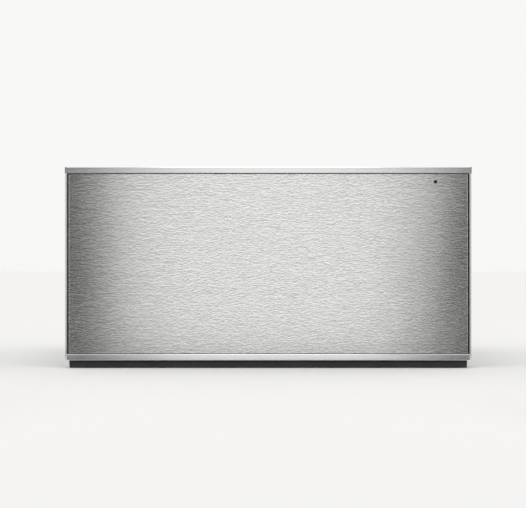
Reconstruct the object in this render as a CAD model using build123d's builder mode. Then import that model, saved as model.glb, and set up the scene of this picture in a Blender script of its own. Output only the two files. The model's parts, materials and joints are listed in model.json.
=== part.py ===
import os

from build123d import *

os.makedirs("parts", exist_ok=True)

# Built-in warming drawer. Sizes are in millimetres. A person who faces the drawer sees +X to the right and
# +Z up, and it opens towards -Y. The origin is in the middle of the width and depth, on the underside.

# Appliance
front_width = 590.0
front_height = 280.0
front_foot_gap = 11.0  # from the underside of the casing to the lower edge of the front
front_projection = 47.0  # from the front face to the front edge of the kitchen unit
casing_depth = 535.0
drawer_travel = 460.0

# Frame round the front
bar_height = 9.1
bar_edge_bevel = 0.8
bar_end_bevel = 3.2
strip_width = 2.9
strip_inset = 0.7
strip_round = 1.2
ledge_thickness = 2.5
ledge_reach = 6.0
corner_bracket_leg = 14.0
corner_bracket_sheet = 2.0
corner_bracket_depth = 18.0

# Panel of the front
side_shadow_gap = 2.4
end_shadow_gap = 1.0
pane_recess = 0.5
pane_thickness = 4.0
pane_corner = 1.0
backing_sheet_thickness = 0.8
gasket_thickness = 1.0
inner_panel_thickness = 0.8
inner_panel_inset = 0.5
inner_panel_corner = 3.0
front_gap = 5.0  # between the closed front and the casing flange
seal_width = 2.5
seal_thickness = 1.4
seal_corner = 4.0
insulation_clearance = 0.3

# Status lamp
lamp_from_side = 52.4  # from the right end of the front
lamp_from_top = 21.1
lamp_radius = 2.5
lamp_collar_radius = 3.8
lamp_collar_thickness = 2.0
lamp_body_radius = 5.6
lamp_body_length = 10.0
lamp_clearance = 0.1

# Touch control in the top bar
control_from_side = 155.0  # from its middle to the right end of the front
control_width = 180.0
control_depth = 24.0
control_setback = 10.0
control_glass_thickness = 2.0
control_recess = 0.2
control_housing_height = 14.0
control_wall = 1.4
control_ear = 12.0
control_clearance = 0.2
control_corner = 0.5
control_post_radius = 1.8
control_post_pitch_x = 144.0
control_post_pitch_y = 12.0
control_keys = 5
control_key_pitch = 30.0
control_key_radius = 4.0
board_thickness = 1.6
board_lift = 6.0

# Casing
base_sheet = 1.2
casing_sheet = 0.8
fold_height = 12.0
fold_end_gap = 20.0
flange_thickness = 2.0
flange_width = 586.0
flange_height = 288.0
flange_side_reach = 15.0  # beyond each side of the casing
flange_top_reach = 10.0  # above the casing
niche_clearance = 2.0  # between the casing and the kitchen unit round it
seat_step = 0.4  # the flange stands this far forward inside the niche, clear of the panels
flange_corner = 3.0
lower_leg_height = 20.0
opening_clearance = 1.5
collar_depth = 8.0
ceiling_gap = 2.8
ceiling_room = 8.9  # between ceiling plate and top panel
ceiling_rear_gap = 16.0
ceiling_fold = 8.0
inside_start = 10.0  # from the flange to the first piece inside the casing
trim_end_gap = 4.5  # from each end of the flange
trim_height = 9.5
trim_recess = 8.0
trim_sheet = 1.5
buffer_radius = 3.0
buffer_thickness = 1.6
buffer_round = 0.5
buffer_edge = 4.0  # from the side edges of the flange
buffer_spacing_z = 100.0
mount_edge = 6.0  # from the side edges of the flange
mount_bottom = 40.0
mount_top_gap = 48.0
mount_hole_radius = 2.1
long_screw_pitch = 203.0
upper_screw_gap = 58.0
lower_screw_gap = 20.0
trim_bevel = 0.6
vent_slot_length = 22.0
vent_slot_height = 4.0
vent_pitch_x = 30.0
vent_pitch_z = 10.0
vent_columns = 11
vent_rows = 4
vent_top_gap = 63.0
base_vent_columns = 9
base_vent_setback = 90.0

# Runners
rail_height = 45.0
rail_stack = 12.7
rail_sheet = 1.2
rail_rear_gap = 28.2  # to the rear panel
rail_setback = 6.0
member_setback = 1.5
member_rear_gap = 8.5
rail_lip_return = 1.5
rail_above_bottom = 43.0  # centre line of the rails above the underside of the drawer
rail_end_tab = 20.0
outer_ball = 3.9
inner_ball = 3.4
ball_clearance = 0.05
balls_in_row = 8
cage_sheet = 0.4
cage_strip = 1.0
cage_gap = 0.2
cage_strip_reach = 3.5
cage_overlap = 20.0
cage_end = 10.0
bracket_depth = 8.2
bracket_sheet = 1.2
bracket_web_half = 27.2
bracket_half = 38.0
bracket_rear_gap = 44.2
rail_screw_radius = 2.0
rail_screw_head = 3.5
rail_screw_head_height = 2.0
rail_screw_reach = 1.0
rail_screw_pitch = 210.0
screw_clearance = 0.1

# Drawer body
drawer_sheet = 0.8
drawer_fold = 14.0
tub_side_room = 20.7  # for the insulation beside the tub
drawer_rear_room = 33.8  # between drawer and rear panel
tub_corner = 25.0
tub_floor_round = 8.0
tub_front_gap = 1.0
glass_thickness = 4.0
glass_clearance = 1.0
glass_bevel = 0.6
spreader_thickness = 1.5
spreader_inset = 12.0
element_diameter = 6.0
element_clearance = 0.1
element_runs = 6
element_pitch = 64.0
element_inset = 39.0  # from the ends of the tub
element_bend = 28.0
floor_insulation_thickness = 11.9
side_insulation_clearance = 0.5

# Air circulation
housing_radius = 74.0
housing_flange_radius = 84.0
housing_depth = 20.0
tub_port_radius = 72.0
cover_width = 196.0
cover_top_gap = 20.0
cover_foot_gap = 6.0
cover_depth = 8.0
cover_corner = 14.0
cover_rim = 8.0
cover_hole_radius = 2.4
cover_hole_pitch = 7.5
cover_hole_rows = 9
cover_slots = 12
cover_slot_radius = 62.0
cover_slot_length = 20.0
cover_slot_width = 5.0
wheel_radius = 50.0
wheel_blades = 20
wheel_front_gap = 5.0
wheel_disc_thickness = 1.2
wheel_width = 12.0
blade_length = 20.0
blade_thickness = 1.0
blade_angle = 35.0
wheel_ring_width = 13.0
hub_radius = 8.0
hub_length = 14.0
hub_step = 1.0
hub_clearance = 0.02
shaft_radius = 2.5
shaft_length = 36.0
shaft_bevel = 0.4
bearing_clearance = 0.05
boss_radius = 9.8
boss_clearance = 0.2
motor_plate_width = 78.0
motor_plate_height = 54.0
motor_plate_thickness = 1.5
motor_width = 60.0
motor_height = 46.0
motor_body_length = 16.0
motor_bevel = 3.0
motor_cap_radius = 11.0
motor_cap_length = 5.5
motor_rear_gap = 3.0
ring_radius = 64.0
ring_tube_radius = 3.0
ring_depth = 10.0
ring_opening_angle = 30.0
ring_leg_reach = 5.0
ring_hole_clearance = 0.3

# Sensors and electrics in the drawer
probe_x = 150.0
probe_above_floor = 40.0
probe_radius = 3.0
probe_inside = 7.0
probe_outside = 16.0
probe_nut_radius = 6.0
probe_nut_thickness = 3.0
cutout_above_floor = 70.0
cutout_radius = 8.0
cutout_height = 10.0
cutout_plate_width = 30.0
cutout_plate_height = 16.0
cutout_plate_thickness = 1.0
cutout_tab_length = 7.0
cutout_tab_width = 4.0
cutout_tab_thickness = 0.8
module_side_gap = 9.8  # from the line of the tub wall
module_above_floor = 100.0
module_width = 120.0
module_height = 90.0
module_depth = 30.0
module_round = 3.0
module_pockets = 5
module_pocket_pitch = 20.0
module_pocket_width = 12.0
module_pocket_height = 8.0
module_pocket_depth = 8.0
module_pocket_drop = 27.0
rear_slab_room = 1.0
socket_x = 165.0
socket_z = 60.0
socket_width = 36.0
socket_height = 18.0
socket_inside = 14.0
socket_outside = 4.0
socket_flange = 4.0
socket_flange_thickness = 1.5
socket_pin_radius = 1.5
socket_pin_pitch = 8.0
socket_pins = 3
socket_wall = 2.5
socket_pocket_depth = 10.0

# Push-to-open unit
latch_z = 64.0
latch_width = 34.0
latch_height = 26.0
latch_depth = 22.0
latch_ear = 12.0
latch_ear_thickness = 3.0
latch_ear_hole = 2.1
latch_guide_length = 4.0
latch_bore_radius = 7.0
latch_bevel = 1.5
plunger_radius = 4.0
plunger_clearance = 0.08
plunger_collar_radius = 6.6
plunger_collar_thickness = 2.0
plunger_seat_gap = 0.1
plunger_pin_radius = 2.5
plunger_pin_length = 4.0
plunger_gap = 3.3  # to the striker, a little more than the drawer can be pushed in
striker_width = 44.0
striker_height = 30.0
striker_thickness = 1.5
striker_corner = 3.0
spring_radius = 5.2
spring_wire = 0.9
spring_turns = 6
spring_end_gap = 0.15

# Mains connection
terminal_side_gap = 78.0  # from its middle to the side of the casing
terminal_z = 64.0
terminal_width = 84.0
terminal_height = 66.0
terminal_depth = 22.0
terminal_wall = 2.0
terminal_lid_lip = 2.0
terminal_lid_corner = 2.0
terminal_poles = 5
terminal_pole_pitch = 12.0
terminal_pole_width = 10.0
terminal_pole_height = 12.0
terminal_strip_lift = 21.0  # above the gland
gland_bore_radius = 4.0
gland_thread_radius = 8.0
gland_clearance = 0.15
gland_nut_across = 20.0
gland_nut_thickness = 4.0
gland_reach = 12.0  # behind the rear panel
gland_dome_radius = 8.5
gland_dome_round = 2.0

# Screws of the casing and of the front
screw_radius = 1.6
screw_head_radius = 2.4
screw_head_height = 1.2
screw_reach = 1.2
front_screw_depth = 12.0
front_screw_pitch = 130.0
front_screw_edge = 3.0

# Places along the depth
total_depth = front_projection + casing_depth + gland_reach
front_face = -total_depth / 2
carcass_plane = front_face + front_projection
casing_rear = carcass_plane + casing_depth
casing_inner_rear = casing_rear - casing_sheet
flange_front = carcass_plane - flange_thickness
front_back = flange_front - front_gap
frame_back = front_back - inner_panel_thickness
pane_front = front_face + pane_recess
backing_front = pane_front + pane_thickness
gasket_front = backing_front + backing_sheet_thickness
ledge_front = gasket_front + gasket_thickness
ledge_back = ledge_front + ledge_thickness
tub_front = front_back + tub_front_gap
tub_inner_front = tub_front + drawer_sheet
drawer_rear = casing_inner_rear - drawer_rear_room
drawer_inner_rear = drawer_rear - drawer_sheet
motor_rear = drawer_inner_rear - motor_rear_gap
housing_rear = motor_rear - motor_cap_length - motor_body_length - motor_plate_thickness
tub_rear = housing_rear - housing_depth
tub_inner_rear = tub_rear - drawer_sheet
tub_length = tub_inner_rear - tub_inner_front
element_length = tub_length - 2 * element_inset
inside_front = carcass_plane + inside_start

# Places across the width
frame_inner_half = front_width / 2 - strip_inset - strip_width
pane_half = frame_inner_half - side_shadow_gap
lamp_x = front_width / 2 - lamp_from_side
control_x = front_width / 2 - control_from_side
casing_half = flange_width / 2 - flange_side_reach
casing_inner_half = casing_half - casing_sheet
rail_face = casing_inner_half - bracket_depth
drawer_half = rail_face - rail_stack
drawer_inner_half = drawer_half - drawer_sheet
opening_half = rail_face + opening_clearance
tub_outer_half = drawer_inner_half - tub_side_room
tub_half_width = tub_outer_half - drawer_sheet
terminal_x = -(casing_half - terminal_side_gap)
module_x = -(tub_outer_half - module_side_gap - module_width / 2)
trim_width = flange_width - 2 * trim_end_gap
buffer_spacing_x = flange_width - 2 * buffer_edge
mount_spacing_x = flange_width - 2 * mount_edge

# Places up the height
front_bottom = front_foot_gap
front_top = front_bottom + front_height
front_centre = (front_bottom + front_top) / 2
frame_inner_bottom = front_bottom + bar_height
frame_inner_top = front_top - bar_height
pane_bottom = frame_inner_bottom + end_shadow_gap
pane_top = frame_inner_top - end_shadow_gap
lamp_z = front_top - lamp_from_top
drawer_bottom = lower_leg_height + opening_clearance
tray_top = drawer_bottom + drawer_sheet
floor_insulation_top = tray_top + floor_insulation_thickness
element_z = floor_insulation_top + element_clearance + element_diameter / 2
spreader_bottom = element_z + element_diameter / 2 + element_clearance
tub_bottom = spreader_bottom + spreader_thickness
tub_floor = tub_bottom + drawer_sheet
glass_top = tub_floor + glass_thickness
casing_height = flange_height - flange_top_reach
casing_inner_top = casing_height - casing_sheet
ceiling_top = casing_inner_top - ceiling_room
ceiling_bottom = ceiling_top - casing_sheet
rim_top = ceiling_bottom - ceiling_gap
rim_bottom = rim_top - drawer_sheet
top_fold_bottom = ceiling_top + insulation_clearance
rail_z = drawer_bottom + rail_above_bottom
cover_height = rim_top - glass_top - cover_top_gap - cover_foot_gap - 2 * cover_rim
fan_z = glass_top + cover_foot_gap + cover_rim + cover_height / 2
mount_spacing_z = flange_height - mount_top_gap - mount_bottom
mount_centre_z = mount_bottom + mount_spacing_z / 2
upper_screw_z = casing_height - upper_screw_gap
vent_centre_z = casing_height - vent_top_gap
module_z = tub_floor + module_above_floor
control_top = front_top - control_recess
control_glass_bottom = control_top - control_glass_thickness
control_housing_bottom = control_glass_bottom - control_housing_height

# Cross-section of a runner: u runs from the bracket towards the drawer, v up from the centre line
outer_race = rail_height / 2 - rail_sheet
outer_row = outer_race - ball_clearance - outer_ball / 2
middle_half = outer_row - outer_ball / 2 - ball_clearance
middle_race = middle_half - rail_sheet
inner_row = middle_race - ball_clearance - inner_ball / 2
inner_half = inner_row - inner_ball / 2 - ball_clearance
outer_cage_u = rail_sheet + cage_gap
middle_web_u = outer_cage_u + cage_sheet + cage_gap
inner_cage_u = middle_web_u + rail_sheet + cage_gap
inner_tip_u = inner_cage_u + cage_sheet + 2 * cage_gap
inner_web_u = rail_stack - rail_sheet
middle_lip_u = inner_web_u - 2 * cage_gap
outer_lip_u = rail_stack - 2 * cage_gap
row_u = (inner_tip_u + middle_lip_u) / 2
rail_front = carcass_plane + rail_setback
rail_length = casing_inner_rear - rail_rear_gap - rail_front
member_front = rail_front + member_setback
member_length = rail_length - member_setback - member_rear_gap
bracket_length = casing_inner_rear - bracket_rear_gap - inside_front
cage_length = member_length - drawer_travel / 2 - cage_overlap
cage_front = member_front + (member_length - cage_length) / 2

# Screw places
front_screw_xs = [step * front_screw_pitch for step in range(-2, 3)]
top_screw_xs = [x for x in front_screw_xs if abs(x - control_x) > control_width / 2 + control_ear]
rail_screw_ys = [rail_front + rail_length / 2 + step * rail_screw_pitch for step in (-1, 0, 1)]
casing_middle = (carcass_plane + casing_rear) / 2
long_screw_ys = [casing_middle + step * long_screw_pitch for step in (-1, 0, 1)]
base_screws = [(y, base_sheet + fold_height / 2) for y in long_screw_ys]
top_screws = [(y, (casing_inner_top + top_fold_bottom) / 2) for y in long_screw_ys]
bracket_flange_z = (bracket_web_half + bracket_half) / 2
bracket_screws = [(y, rail_z + v) for y in rail_screw_ys for v in (-bracket_flange_z, bracket_flange_z)]
rear_fold_bottom = base_sheet + fold_end_gap
rear_fold_top = casing_inner_top - fold_end_gap
upright_screw_zs = (rail_z + bracket_half + lower_screw_gap, upper_screw_z)
rear_screws = [(casing_inner_rear - fold_height / 2, z) for z in upright_screw_zs]
collar_screws = [(carcass_plane + collar_depth / 2, z) for z in upright_screw_zs]
side_screws = base_screws + top_screws + bracket_screws + rear_screws + collar_screws


def front_plane(y):
    """Upright plane at depth y that faces the kitchen: its x is +X and its y is +Z."""
    return Plane(origin=(0, y, 0), x_dir=(1, 0, 0), z_dir=(0, -1, 0))


def block(x_range, y_range, z_range, mode=Mode.ADD):
    """Box between the given limits, joined to or cut from the piece being built."""
    limits = (x_range, y_range, z_range)
    with Locations(tuple((low + high) / 2 for low, high in limits)):
        Box(*(abs(high - low) for low, high in limits), mode=mode)


def rod_y(x, z, y_start, y_end, radius, mode=Mode.ADD):
    """Round bar along the depth, joined to or cut from the piece being built."""
    with Locations(Location((x, (y_start + y_end) / 2, z), (90, 0, 0))):
        Cylinder(radius, abs(y_end - y_start), mode=mode)


def rod_x(y, z, x_start, x_end, radius, mode=Mode.ADD):
    """Round bar across the width, joined to or cut from the piece being built."""
    with Locations(Location(((x_start + x_end) / 2, y, z), (0, 90, 0))):
        Cylinder(radius, abs(x_end - x_start), mode=mode)


def save(piece, name):
    """Label a finished piece and write its file."""
    piece.part.label = name
    export_step(piece.part, f"parts/{name}.step")


# ---- Frame round the front ----

for name, outer_z, inward in (("frame_bottom_bar", front_bottom, 1), ("frame_top_bar", front_top, -1)):
    inner_z = outer_z + inward * bar_height
    with BuildPart() as bar:
        with BuildSketch(Plane.XY.offset(min(outer_z, inner_z))):
            with BuildLine():
                half = front_width / 2
                Polyline(
                    (-half, frame_back),
                    (-half, front_face + bar_end_bevel),
                    (-half + bar_end_bevel, front_face),
                    (half - bar_end_bevel, front_face),
                    (half, front_face + bar_end_bevel),
                    (half, frame_back),
                    close=True,
                )
            make_face()
        extrude(amount=bar_height)
        chamfer(bar.edges().group_by(Axis.Y)[0].filter_by(Axis.X), bar_edge_bevel)
        block(
            (-frame_inner_half, frame_inner_half),
            (ledge_front, ledge_back),
            (inner_z, inner_z + inward * ledge_reach),
        )
        screw_xs = top_screw_xs if inward < 0 else front_screw_xs
        for x in screw_xs:
            rod_y(
                x,
                outer_z + inward * front_screw_edge,
                frame_back - front_screw_depth,
                frame_back,
                screw_radius + screw_clearance,
                Mode.SUBTRACT,
            )
        if inward < 0:
            lamp_room = lamp_body_radius + insulation_clearance
            rod_y(lamp_x, lamp_z, ledge_front, ledge_back, lamp_room, Mode.SUBTRACT)
            pocket_front = front_face + control_setback
            block(
                (control_x - control_width / 2, control_x + control_width / 2),
                (pocket_front, pocket_front + control_depth),
                (inner_z, outer_z),
                Mode.SUBTRACT,
            )
    save(bar, name)

for side, sign in (("left", -1), ("right", 1)):
    outer_x = sign * (frame_inner_half + strip_width)
    inner_x = sign * frame_inner_half
    with BuildPart() as strip:
        block((inner_x, outer_x), (front_face, frame_back), (frame_inner_bottom, frame_inner_top))
        outer_edges = strip.edges().filter_by(Axis.Z).group_by(Axis.Y)[0].sort_by(Axis.X)
        fillet(outer_edges[-1] if sign > 0 else outer_edges[0], strip_round)
        block(
            (inner_x, inner_x - sign * ledge_reach),
            (ledge_front, ledge_back),
            (frame_inner_bottom + ledge_reach, frame_inner_top - ledge_reach),
        )
    save(strip, f"frame_{side}_strip")

# Angle brackets that tie the bars to the strips, one in each corner behind the ledges
with BuildPart() as corner_brackets:
    bracket_front = ledge_back + corner_bracket_sheet
    bracket_y = (bracket_front, bracket_front + corner_bracket_depth)
    for sign in (-1, 1):
        for corner_z, up in ((frame_inner_bottom, 1), (frame_inner_top, -1)):
            x = sign * frame_inner_half
            for leg_x, leg_z in (
                (corner_bracket_sheet, corner_bracket_leg),
                (corner_bracket_leg, corner_bracket_sheet),
            ):
                block((x, x - sign * leg_x), bracket_y, (corner_z, corner_z + up * leg_z))
save(corner_brackets, "corner_brackets")

# ---- Panel of the front ----

with BuildPart() as front_pane:
    with BuildSketch(front_plane(pane_front)):
        with Locations((0, (pane_bottom + pane_top) / 2)):
            RectangleRounded(2 * pane_half, pane_top - pane_bottom, pane_corner)
    extrude(amount=-pane_thickness)
save(front_pane, "front_pane")

with BuildPart() as backing_sheet:
    with BuildSketch(front_plane(backing_front)):
        with Locations((0, (pane_bottom + pane_top) / 2)):
            RectangleRounded(2 * pane_half, pane_top - pane_bottom, pane_corner)
        with Locations((lamp_x, lamp_z)):
            Circle(lamp_radius + lamp_clearance, mode=Mode.SUBTRACT)
    extrude(amount=-backing_sheet_thickness)
save(backing_sheet, "backing_sheet")

# Black gasket on the ledges, which closes the shadow gap
with BuildPart() as panel_gasket:
    with BuildSketch(front_plane(gasket_front)):
        with Locations((0, front_centre)):
            Rectangle(2 * frame_inner_half, frame_inner_top - frame_inner_bottom)
            Rectangle(
                2 * (frame_inner_half - ledge_reach),
                frame_inner_top - frame_inner_bottom - 2 * ledge_reach,
                mode=Mode.SUBTRACT,
            )
        with Locations((lamp_x, lamp_z)):
            Circle(lamp_body_radius + insulation_clearance, mode=Mode.SUBTRACT)
    extrude(amount=-gasket_thickness)
save(panel_gasket, "panel_gasket")

with BuildPart() as front_insulation:
    slab_half = frame_inner_half - corner_bracket_sheet - insulation_clearance
    slab_bottom = frame_inner_bottom + corner_bracket_sheet + insulation_clearance
    slab_top = control_housing_bottom - insulation_clearance
    block((-slab_half, slab_half), (ledge_back + insulation_clearance, frame_back), (slab_bottom, slab_top))
    pad_half = frame_inner_half - ledge_reach - insulation_clearance
    pad_bottom = frame_inner_bottom + ledge_reach + insulation_clearance
    pad_top = frame_inner_top - ledge_reach - insulation_clearance
    block((-pad_half, pad_half), (gasket_front, ledge_back + insulation_clearance), (pad_bottom, pad_top))
    rod_y(
        lamp_x,
        lamp_z,
        gasket_front,
        gasket_front + lamp_collar_thickness + lamp_body_length + insulation_clearance,
        lamp_body_radius + insulation_clearance,
        Mode.SUBTRACT,
    )
save(front_insulation, "front_insulation")

with BuildPart() as inner_panel:
    with BuildSketch(front_plane(frame_back)):
        with Locations((0, front_centre)):
            RectangleRounded(
                front_width - 2 * (strip_inset + inner_panel_inset),
                front_height - 2 * inner_panel_inset,
                inner_panel_corner,
            )
        with Locations(*[(x, front_bottom + front_screw_edge) for x in front_screw_xs]):
            Circle(screw_radius + screw_clearance, mode=Mode.SUBTRACT)
        with Locations(*[(x, front_top - front_screw_edge) for x in top_screw_xs]):
            Circle(screw_radius + screw_clearance, mode=Mode.SUBTRACT)
    extrude(amount=-inner_panel_thickness)
save(inner_panel, "inner_panel")

# Seal on the back of the front, round the mouth of the casing
with BuildPart() as front_seal:
    seal_outer_half = flange_width / 2 - (flange_width / 2 - opening_half) / 2
    seal_bottom = lower_leg_height - opening_clearance / 2 - seal_width
    seal_top = (ceiling_bottom + flange_height) / 2
    with BuildSketch(front_plane(front_back)):
        with Locations((0, (seal_bottom + seal_top) / 2)):
            RectangleRounded(2 * seal_outer_half, seal_top - seal_bottom, seal_corner)
            RectangleRounded(
                2 * (seal_outer_half - seal_width),
                seal_top - seal_bottom - 2 * seal_width,
                seal_corner / 2,
                mode=Mode.SUBTRACT,
            )
    extrude(amount=-seal_thickness)
save(front_seal, "front_seal")

with BuildPart() as status_lamp:
    rod_y(lamp_x, lamp_z, backing_front, gasket_front, lamp_radius)
    rod_y(lamp_x, lamp_z, gasket_front, gasket_front + lamp_collar_thickness, lamp_collar_radius)
    rod_y(
        lamp_x,
        lamp_z,
        gasket_front + lamp_collar_thickness,
        gasket_front + lamp_collar_thickness + lamp_body_length,
        lamp_body_radius,
    )
save(status_lamp, "status_lamp")

# ---- Touch control in the top bar ----

control_front = front_face + control_setback
control_mid_y = control_front + control_depth / 2
control_cover_width = control_width - 2 * control_clearance
control_cover_depth = control_depth - 2 * control_clearance

with BuildPart() as control_glass:
    with BuildSketch(Plane.XY.offset(control_glass_bottom)):
        with Locations((control_x, control_mid_y)):
            RectangleRounded(control_cover_width, control_cover_depth, control_corner)
    extrude(amount=control_glass_thickness)
save(control_glass, "control_glass")

with BuildPart() as control_housing:
    with BuildSketch(Plane.XY.offset(control_housing_bottom)):
        with Locations((control_x, control_mid_y)):
            Rectangle(control_cover_width, control_cover_depth)
    extrude(amount=control_housing_height)
    with BuildSketch(Plane.XY.offset(control_housing_bottom + control_wall)):
        with Locations((control_x, control_mid_y)):
            Rectangle(control_cover_width - 2 * control_wall, control_cover_depth - 2 * control_wall)
    extrude(amount=control_housing_height, mode=Mode.SUBTRACT)
    # ears that bear on the underside of the top bar
    for end in (-1, 1):
        end_x = control_x + end * control_cover_width / 2
        block(
            (end_x, end_x + end * control_ear),
            (control_front + control_clearance, control_front + control_depth - control_clearance),
            (frame_inner_top - control_wall, frame_inner_top),
        )
    # posts for the board
    with Locations((control_x, control_mid_y, control_housing_bottom + control_wall)):
        with GridLocations(control_post_pitch_x, control_post_pitch_y, 2, 2):
            Cylinder(control_post_radius, board_lift, align=(Align.CENTER, Align.CENTER, Align.MIN))
save(control_housing, "control_housing")

with BuildPart() as control_board:
    board_bottom = control_housing_bottom + control_wall + board_lift
    board_half = control_width / 2 - control_wall - 2 * control_clearance
    with BuildSketch(Plane.XY.offset(board_bottom)):
        with Locations((control_x, control_mid_y)):
            Rectangle(2 * board_half, control_cover_depth - 2 * control_wall - 2 * control_clearance)
    extrude(amount=board_thickness)
    # sprung pads that lift the sensing areas to the underside of the glass
    with Locations((control_x, control_mid_y, board_bottom + board_thickness)):
        with GridLocations(control_key_pitch, 1, control_keys, 1):
            Cylinder(
                control_key_radius,
                control_glass_bottom - board_bottom - board_thickness,
                align=(Align.CENTER, Align.CENTER, Align.MIN),
            )
save(control_board, "control_board")

# ---- Sheets of the drawer body ----

with BuildPart() as drawer_sides:
    for sign in (-1, 1):
        block(
            (sign * drawer_inner_half, sign * drawer_half),
            (front_back, drawer_rear),
            (drawer_bottom, rim_bottom),
        )
        block(
            (sign * (drawer_inner_half - drawer_fold), sign * drawer_inner_half),
            (front_back, front_back + drawer_sheet),
            (tray_top, rim_bottom),
        )
        for y in rail_screw_ys:
            rod_x(
                y,
                rail_z,
                sign * drawer_inner_half,
                sign * drawer_half,
                rail_screw_radius + screw_clearance,
                Mode.SUBTRACT,
            )
save(drawer_sides, "drawer_sides")

with BuildPart() as drawer_rear_sheet:
    block(
        (-drawer_inner_half, drawer_inner_half),
        (drawer_inner_rear, drawer_rear),
        (drawer_bottom, rim_bottom),
    )
    for sign in (-1, 1):
        block(
            (sign * (drawer_inner_half - drawer_sheet), sign * drawer_inner_half),
            (drawer_inner_rear - drawer_fold, drawer_inner_rear),
            (tray_top + drawer_fold, rim_bottom),
        )
    block(
        (socket_x - socket_width / 2, socket_x + socket_width / 2),
        (drawer_inner_rear, drawer_rear),
        (socket_z - socket_height / 2, socket_z + socket_height / 2),
        Mode.SUBTRACT,
    )
save(drawer_rear_sheet, "drawer_rear_sheet")

with BuildPart() as bottom_tray:
    block(
        (-drawer_inner_half, drawer_inner_half),
        (front_back, drawer_inner_rear),
        (drawer_bottom, tray_top),
    )
    for sign in (-1, 1):
        block(
            (sign * (drawer_inner_half - drawer_sheet), sign * drawer_inner_half),
            (front_back + drawer_sheet, drawer_inner_rear),
            (tray_top, tray_top + drawer_fold - drawer_sheet),
        )
save(bottom_tray, "bottom_tray")

# ---- Tub ----

with BuildPart() as tub:
    tub_mid_y = (tub_inner_front + tub_inner_rear) / 2
    with BuildSketch(Plane.XY.offset(tub_bottom)):
        with Locations((0, tub_mid_y)):
            RectangleRounded(2 * tub_outer_half, tub_length + 2 * drawer_sheet, tub_corner + drawer_sheet)
    extrude(amount=rim_bottom - tub_bottom)
    fillet(tub.faces().sort_by(Axis.Z)[0].edges(), tub_floor_round + drawer_sheet)
    # rim that covers the walls and the space behind the tub
    block((-drawer_half, drawer_half), (front_back, drawer_rear), (rim_bottom, rim_top))
    with BuildSketch(Plane.XY.offset(tub_floor)):
        with Locations((0, tub_mid_y)):
            RectangleRounded(2 * tub_half_width, tub_length, tub_corner)
    hollow = extrude(amount=rim_top - tub_floor, mode=Mode.PRIVATE)
    hollow = hollow.fillet(tub_floor_round, hollow.faces().sort_by(Axis.Z)[0].edges())
    add(hollow, mode=Mode.SUBTRACT)
    rod_y(0, fan_z, tub_inner_rear, tub_rear, tub_port_radius, Mode.SUBTRACT)
    rod_y(
        probe_x,
        tub_floor + probe_above_floor,
        tub_inner_rear,
        tub_rear,
        probe_radius + screw_clearance,
        Mode.SUBTRACT,
    )
save(tub, "tub")

with BuildPart() as glass_base:
    with BuildSketch(Plane.XY.offset(tub_floor)):
        with Locations((0, tub_mid_y)):
            RectangleRounded(
                2 * (tub_half_width - tub_floor_round - glass_clearance),
                tub_length - 2 * (tub_floor_round + glass_clearance),
                tub_corner - tub_floor_round,
            )
    extrude(amount=glass_thickness)
    chamfer(glass_base.edges().group_by(Axis.Z)[-1], glass_bevel)
save(glass_base, "glass_base")

with BuildPart() as heat_spreader:
    with BuildSketch(Plane.XY.offset(spreader_bottom)):
        with Locations((0, tub_mid_y)):
            RectangleRounded(
                2 * (tub_half_width - spreader_inset),
                tub_length - 2 * spreader_inset,
                tub_corner - spreader_inset,
            )
    extrude(amount=spreader_thickness)
save(heat_spreader, "heat_spreader")

# Tubular element in even runs, with both ends at the back
with BuildPart() as heating_element:
    element_points = []
    for run in range(element_runs):
        run_x = (run - (element_runs - 1) / 2) * element_pitch
        ends = (tub_mid_y + element_length / 2, tub_mid_y - element_length / 2)
        for end_y in ends if run % 2 == 0 else ends[::-1]:
            element_points.append((run_x, end_y, element_z))
    with BuildLine():
        FilletPolyline(*element_points, radius=element_bend)
    with BuildSketch(Plane(origin=element_points[0], x_dir=(1, 0, 0), z_dir=(0, -1, 0))):
        Circle(element_diameter / 2)
    sweep()
save(heating_element, "heating_element")

with BuildPart() as drawer_insulation:
    slab_half = drawer_inner_half - drawer_sheet - side_insulation_clearance
    slab_front = front_back + drawer_sheet + side_insulation_clearance
    slab_rear = drawer_inner_rear - side_insulation_clearance
    block((-slab_half, slab_half), (slab_front, slab_rear), (tray_top, floor_insulation_top))
    wall_bottom = floor_insulation_top + side_insulation_clearance
    wall_top = rim_bottom - side_insulation_clearance
    for sign in (-1, 1):
        block(
            (sign * (tub_outer_half + side_insulation_clearance), sign * slab_half),
            (slab_front, slab_rear),
            (wall_bottom, wall_top),
        )
    # slab behind the tub, cut out round the fan and the module
    block(
        (-tub_outer_half, tub_outer_half),
        (tub_rear + side_insulation_clearance, tub_rear + housing_depth),
        (wall_bottom, wall_top),
    )
    rod_y(0, fan_z, tub_rear, tub_rear + housing_depth, housing_flange_radius + rear_slab_room, Mode.SUBTRACT)
    module_room_x = module_width / 2 + rear_slab_room
    module_room_z = module_height / 2 + rear_slab_room
    block(
        (module_x - module_room_x, module_x + module_room_x),
        (tub_rear, drawer_inner_rear),
        (module_z - module_room_z, module_z + module_room_z),
        Mode.SUBTRACT,
    )
    sensor_half = cutout_plate_width / 2 + rear_slab_room
    block(
        (probe_x - sensor_half, probe_x + sensor_half),
        (tub_rear, tub_rear + housing_depth),
        (
            tub_floor + probe_above_floor - probe_nut_radius - rear_slab_room,
            tub_floor + cutout_above_floor + cutout_plate_height / 2 + rear_slab_room,
        ),
        Mode.SUBTRACT,
    )
save(drawer_insulation, "drawer_insulation")

# ---- Air circulation behind the tub ----

ring_y = tub_rear + ring_depth
ring_leg_angles = (90 - ring_opening_angle / 2, 90 + ring_opening_angle / 2)

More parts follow.
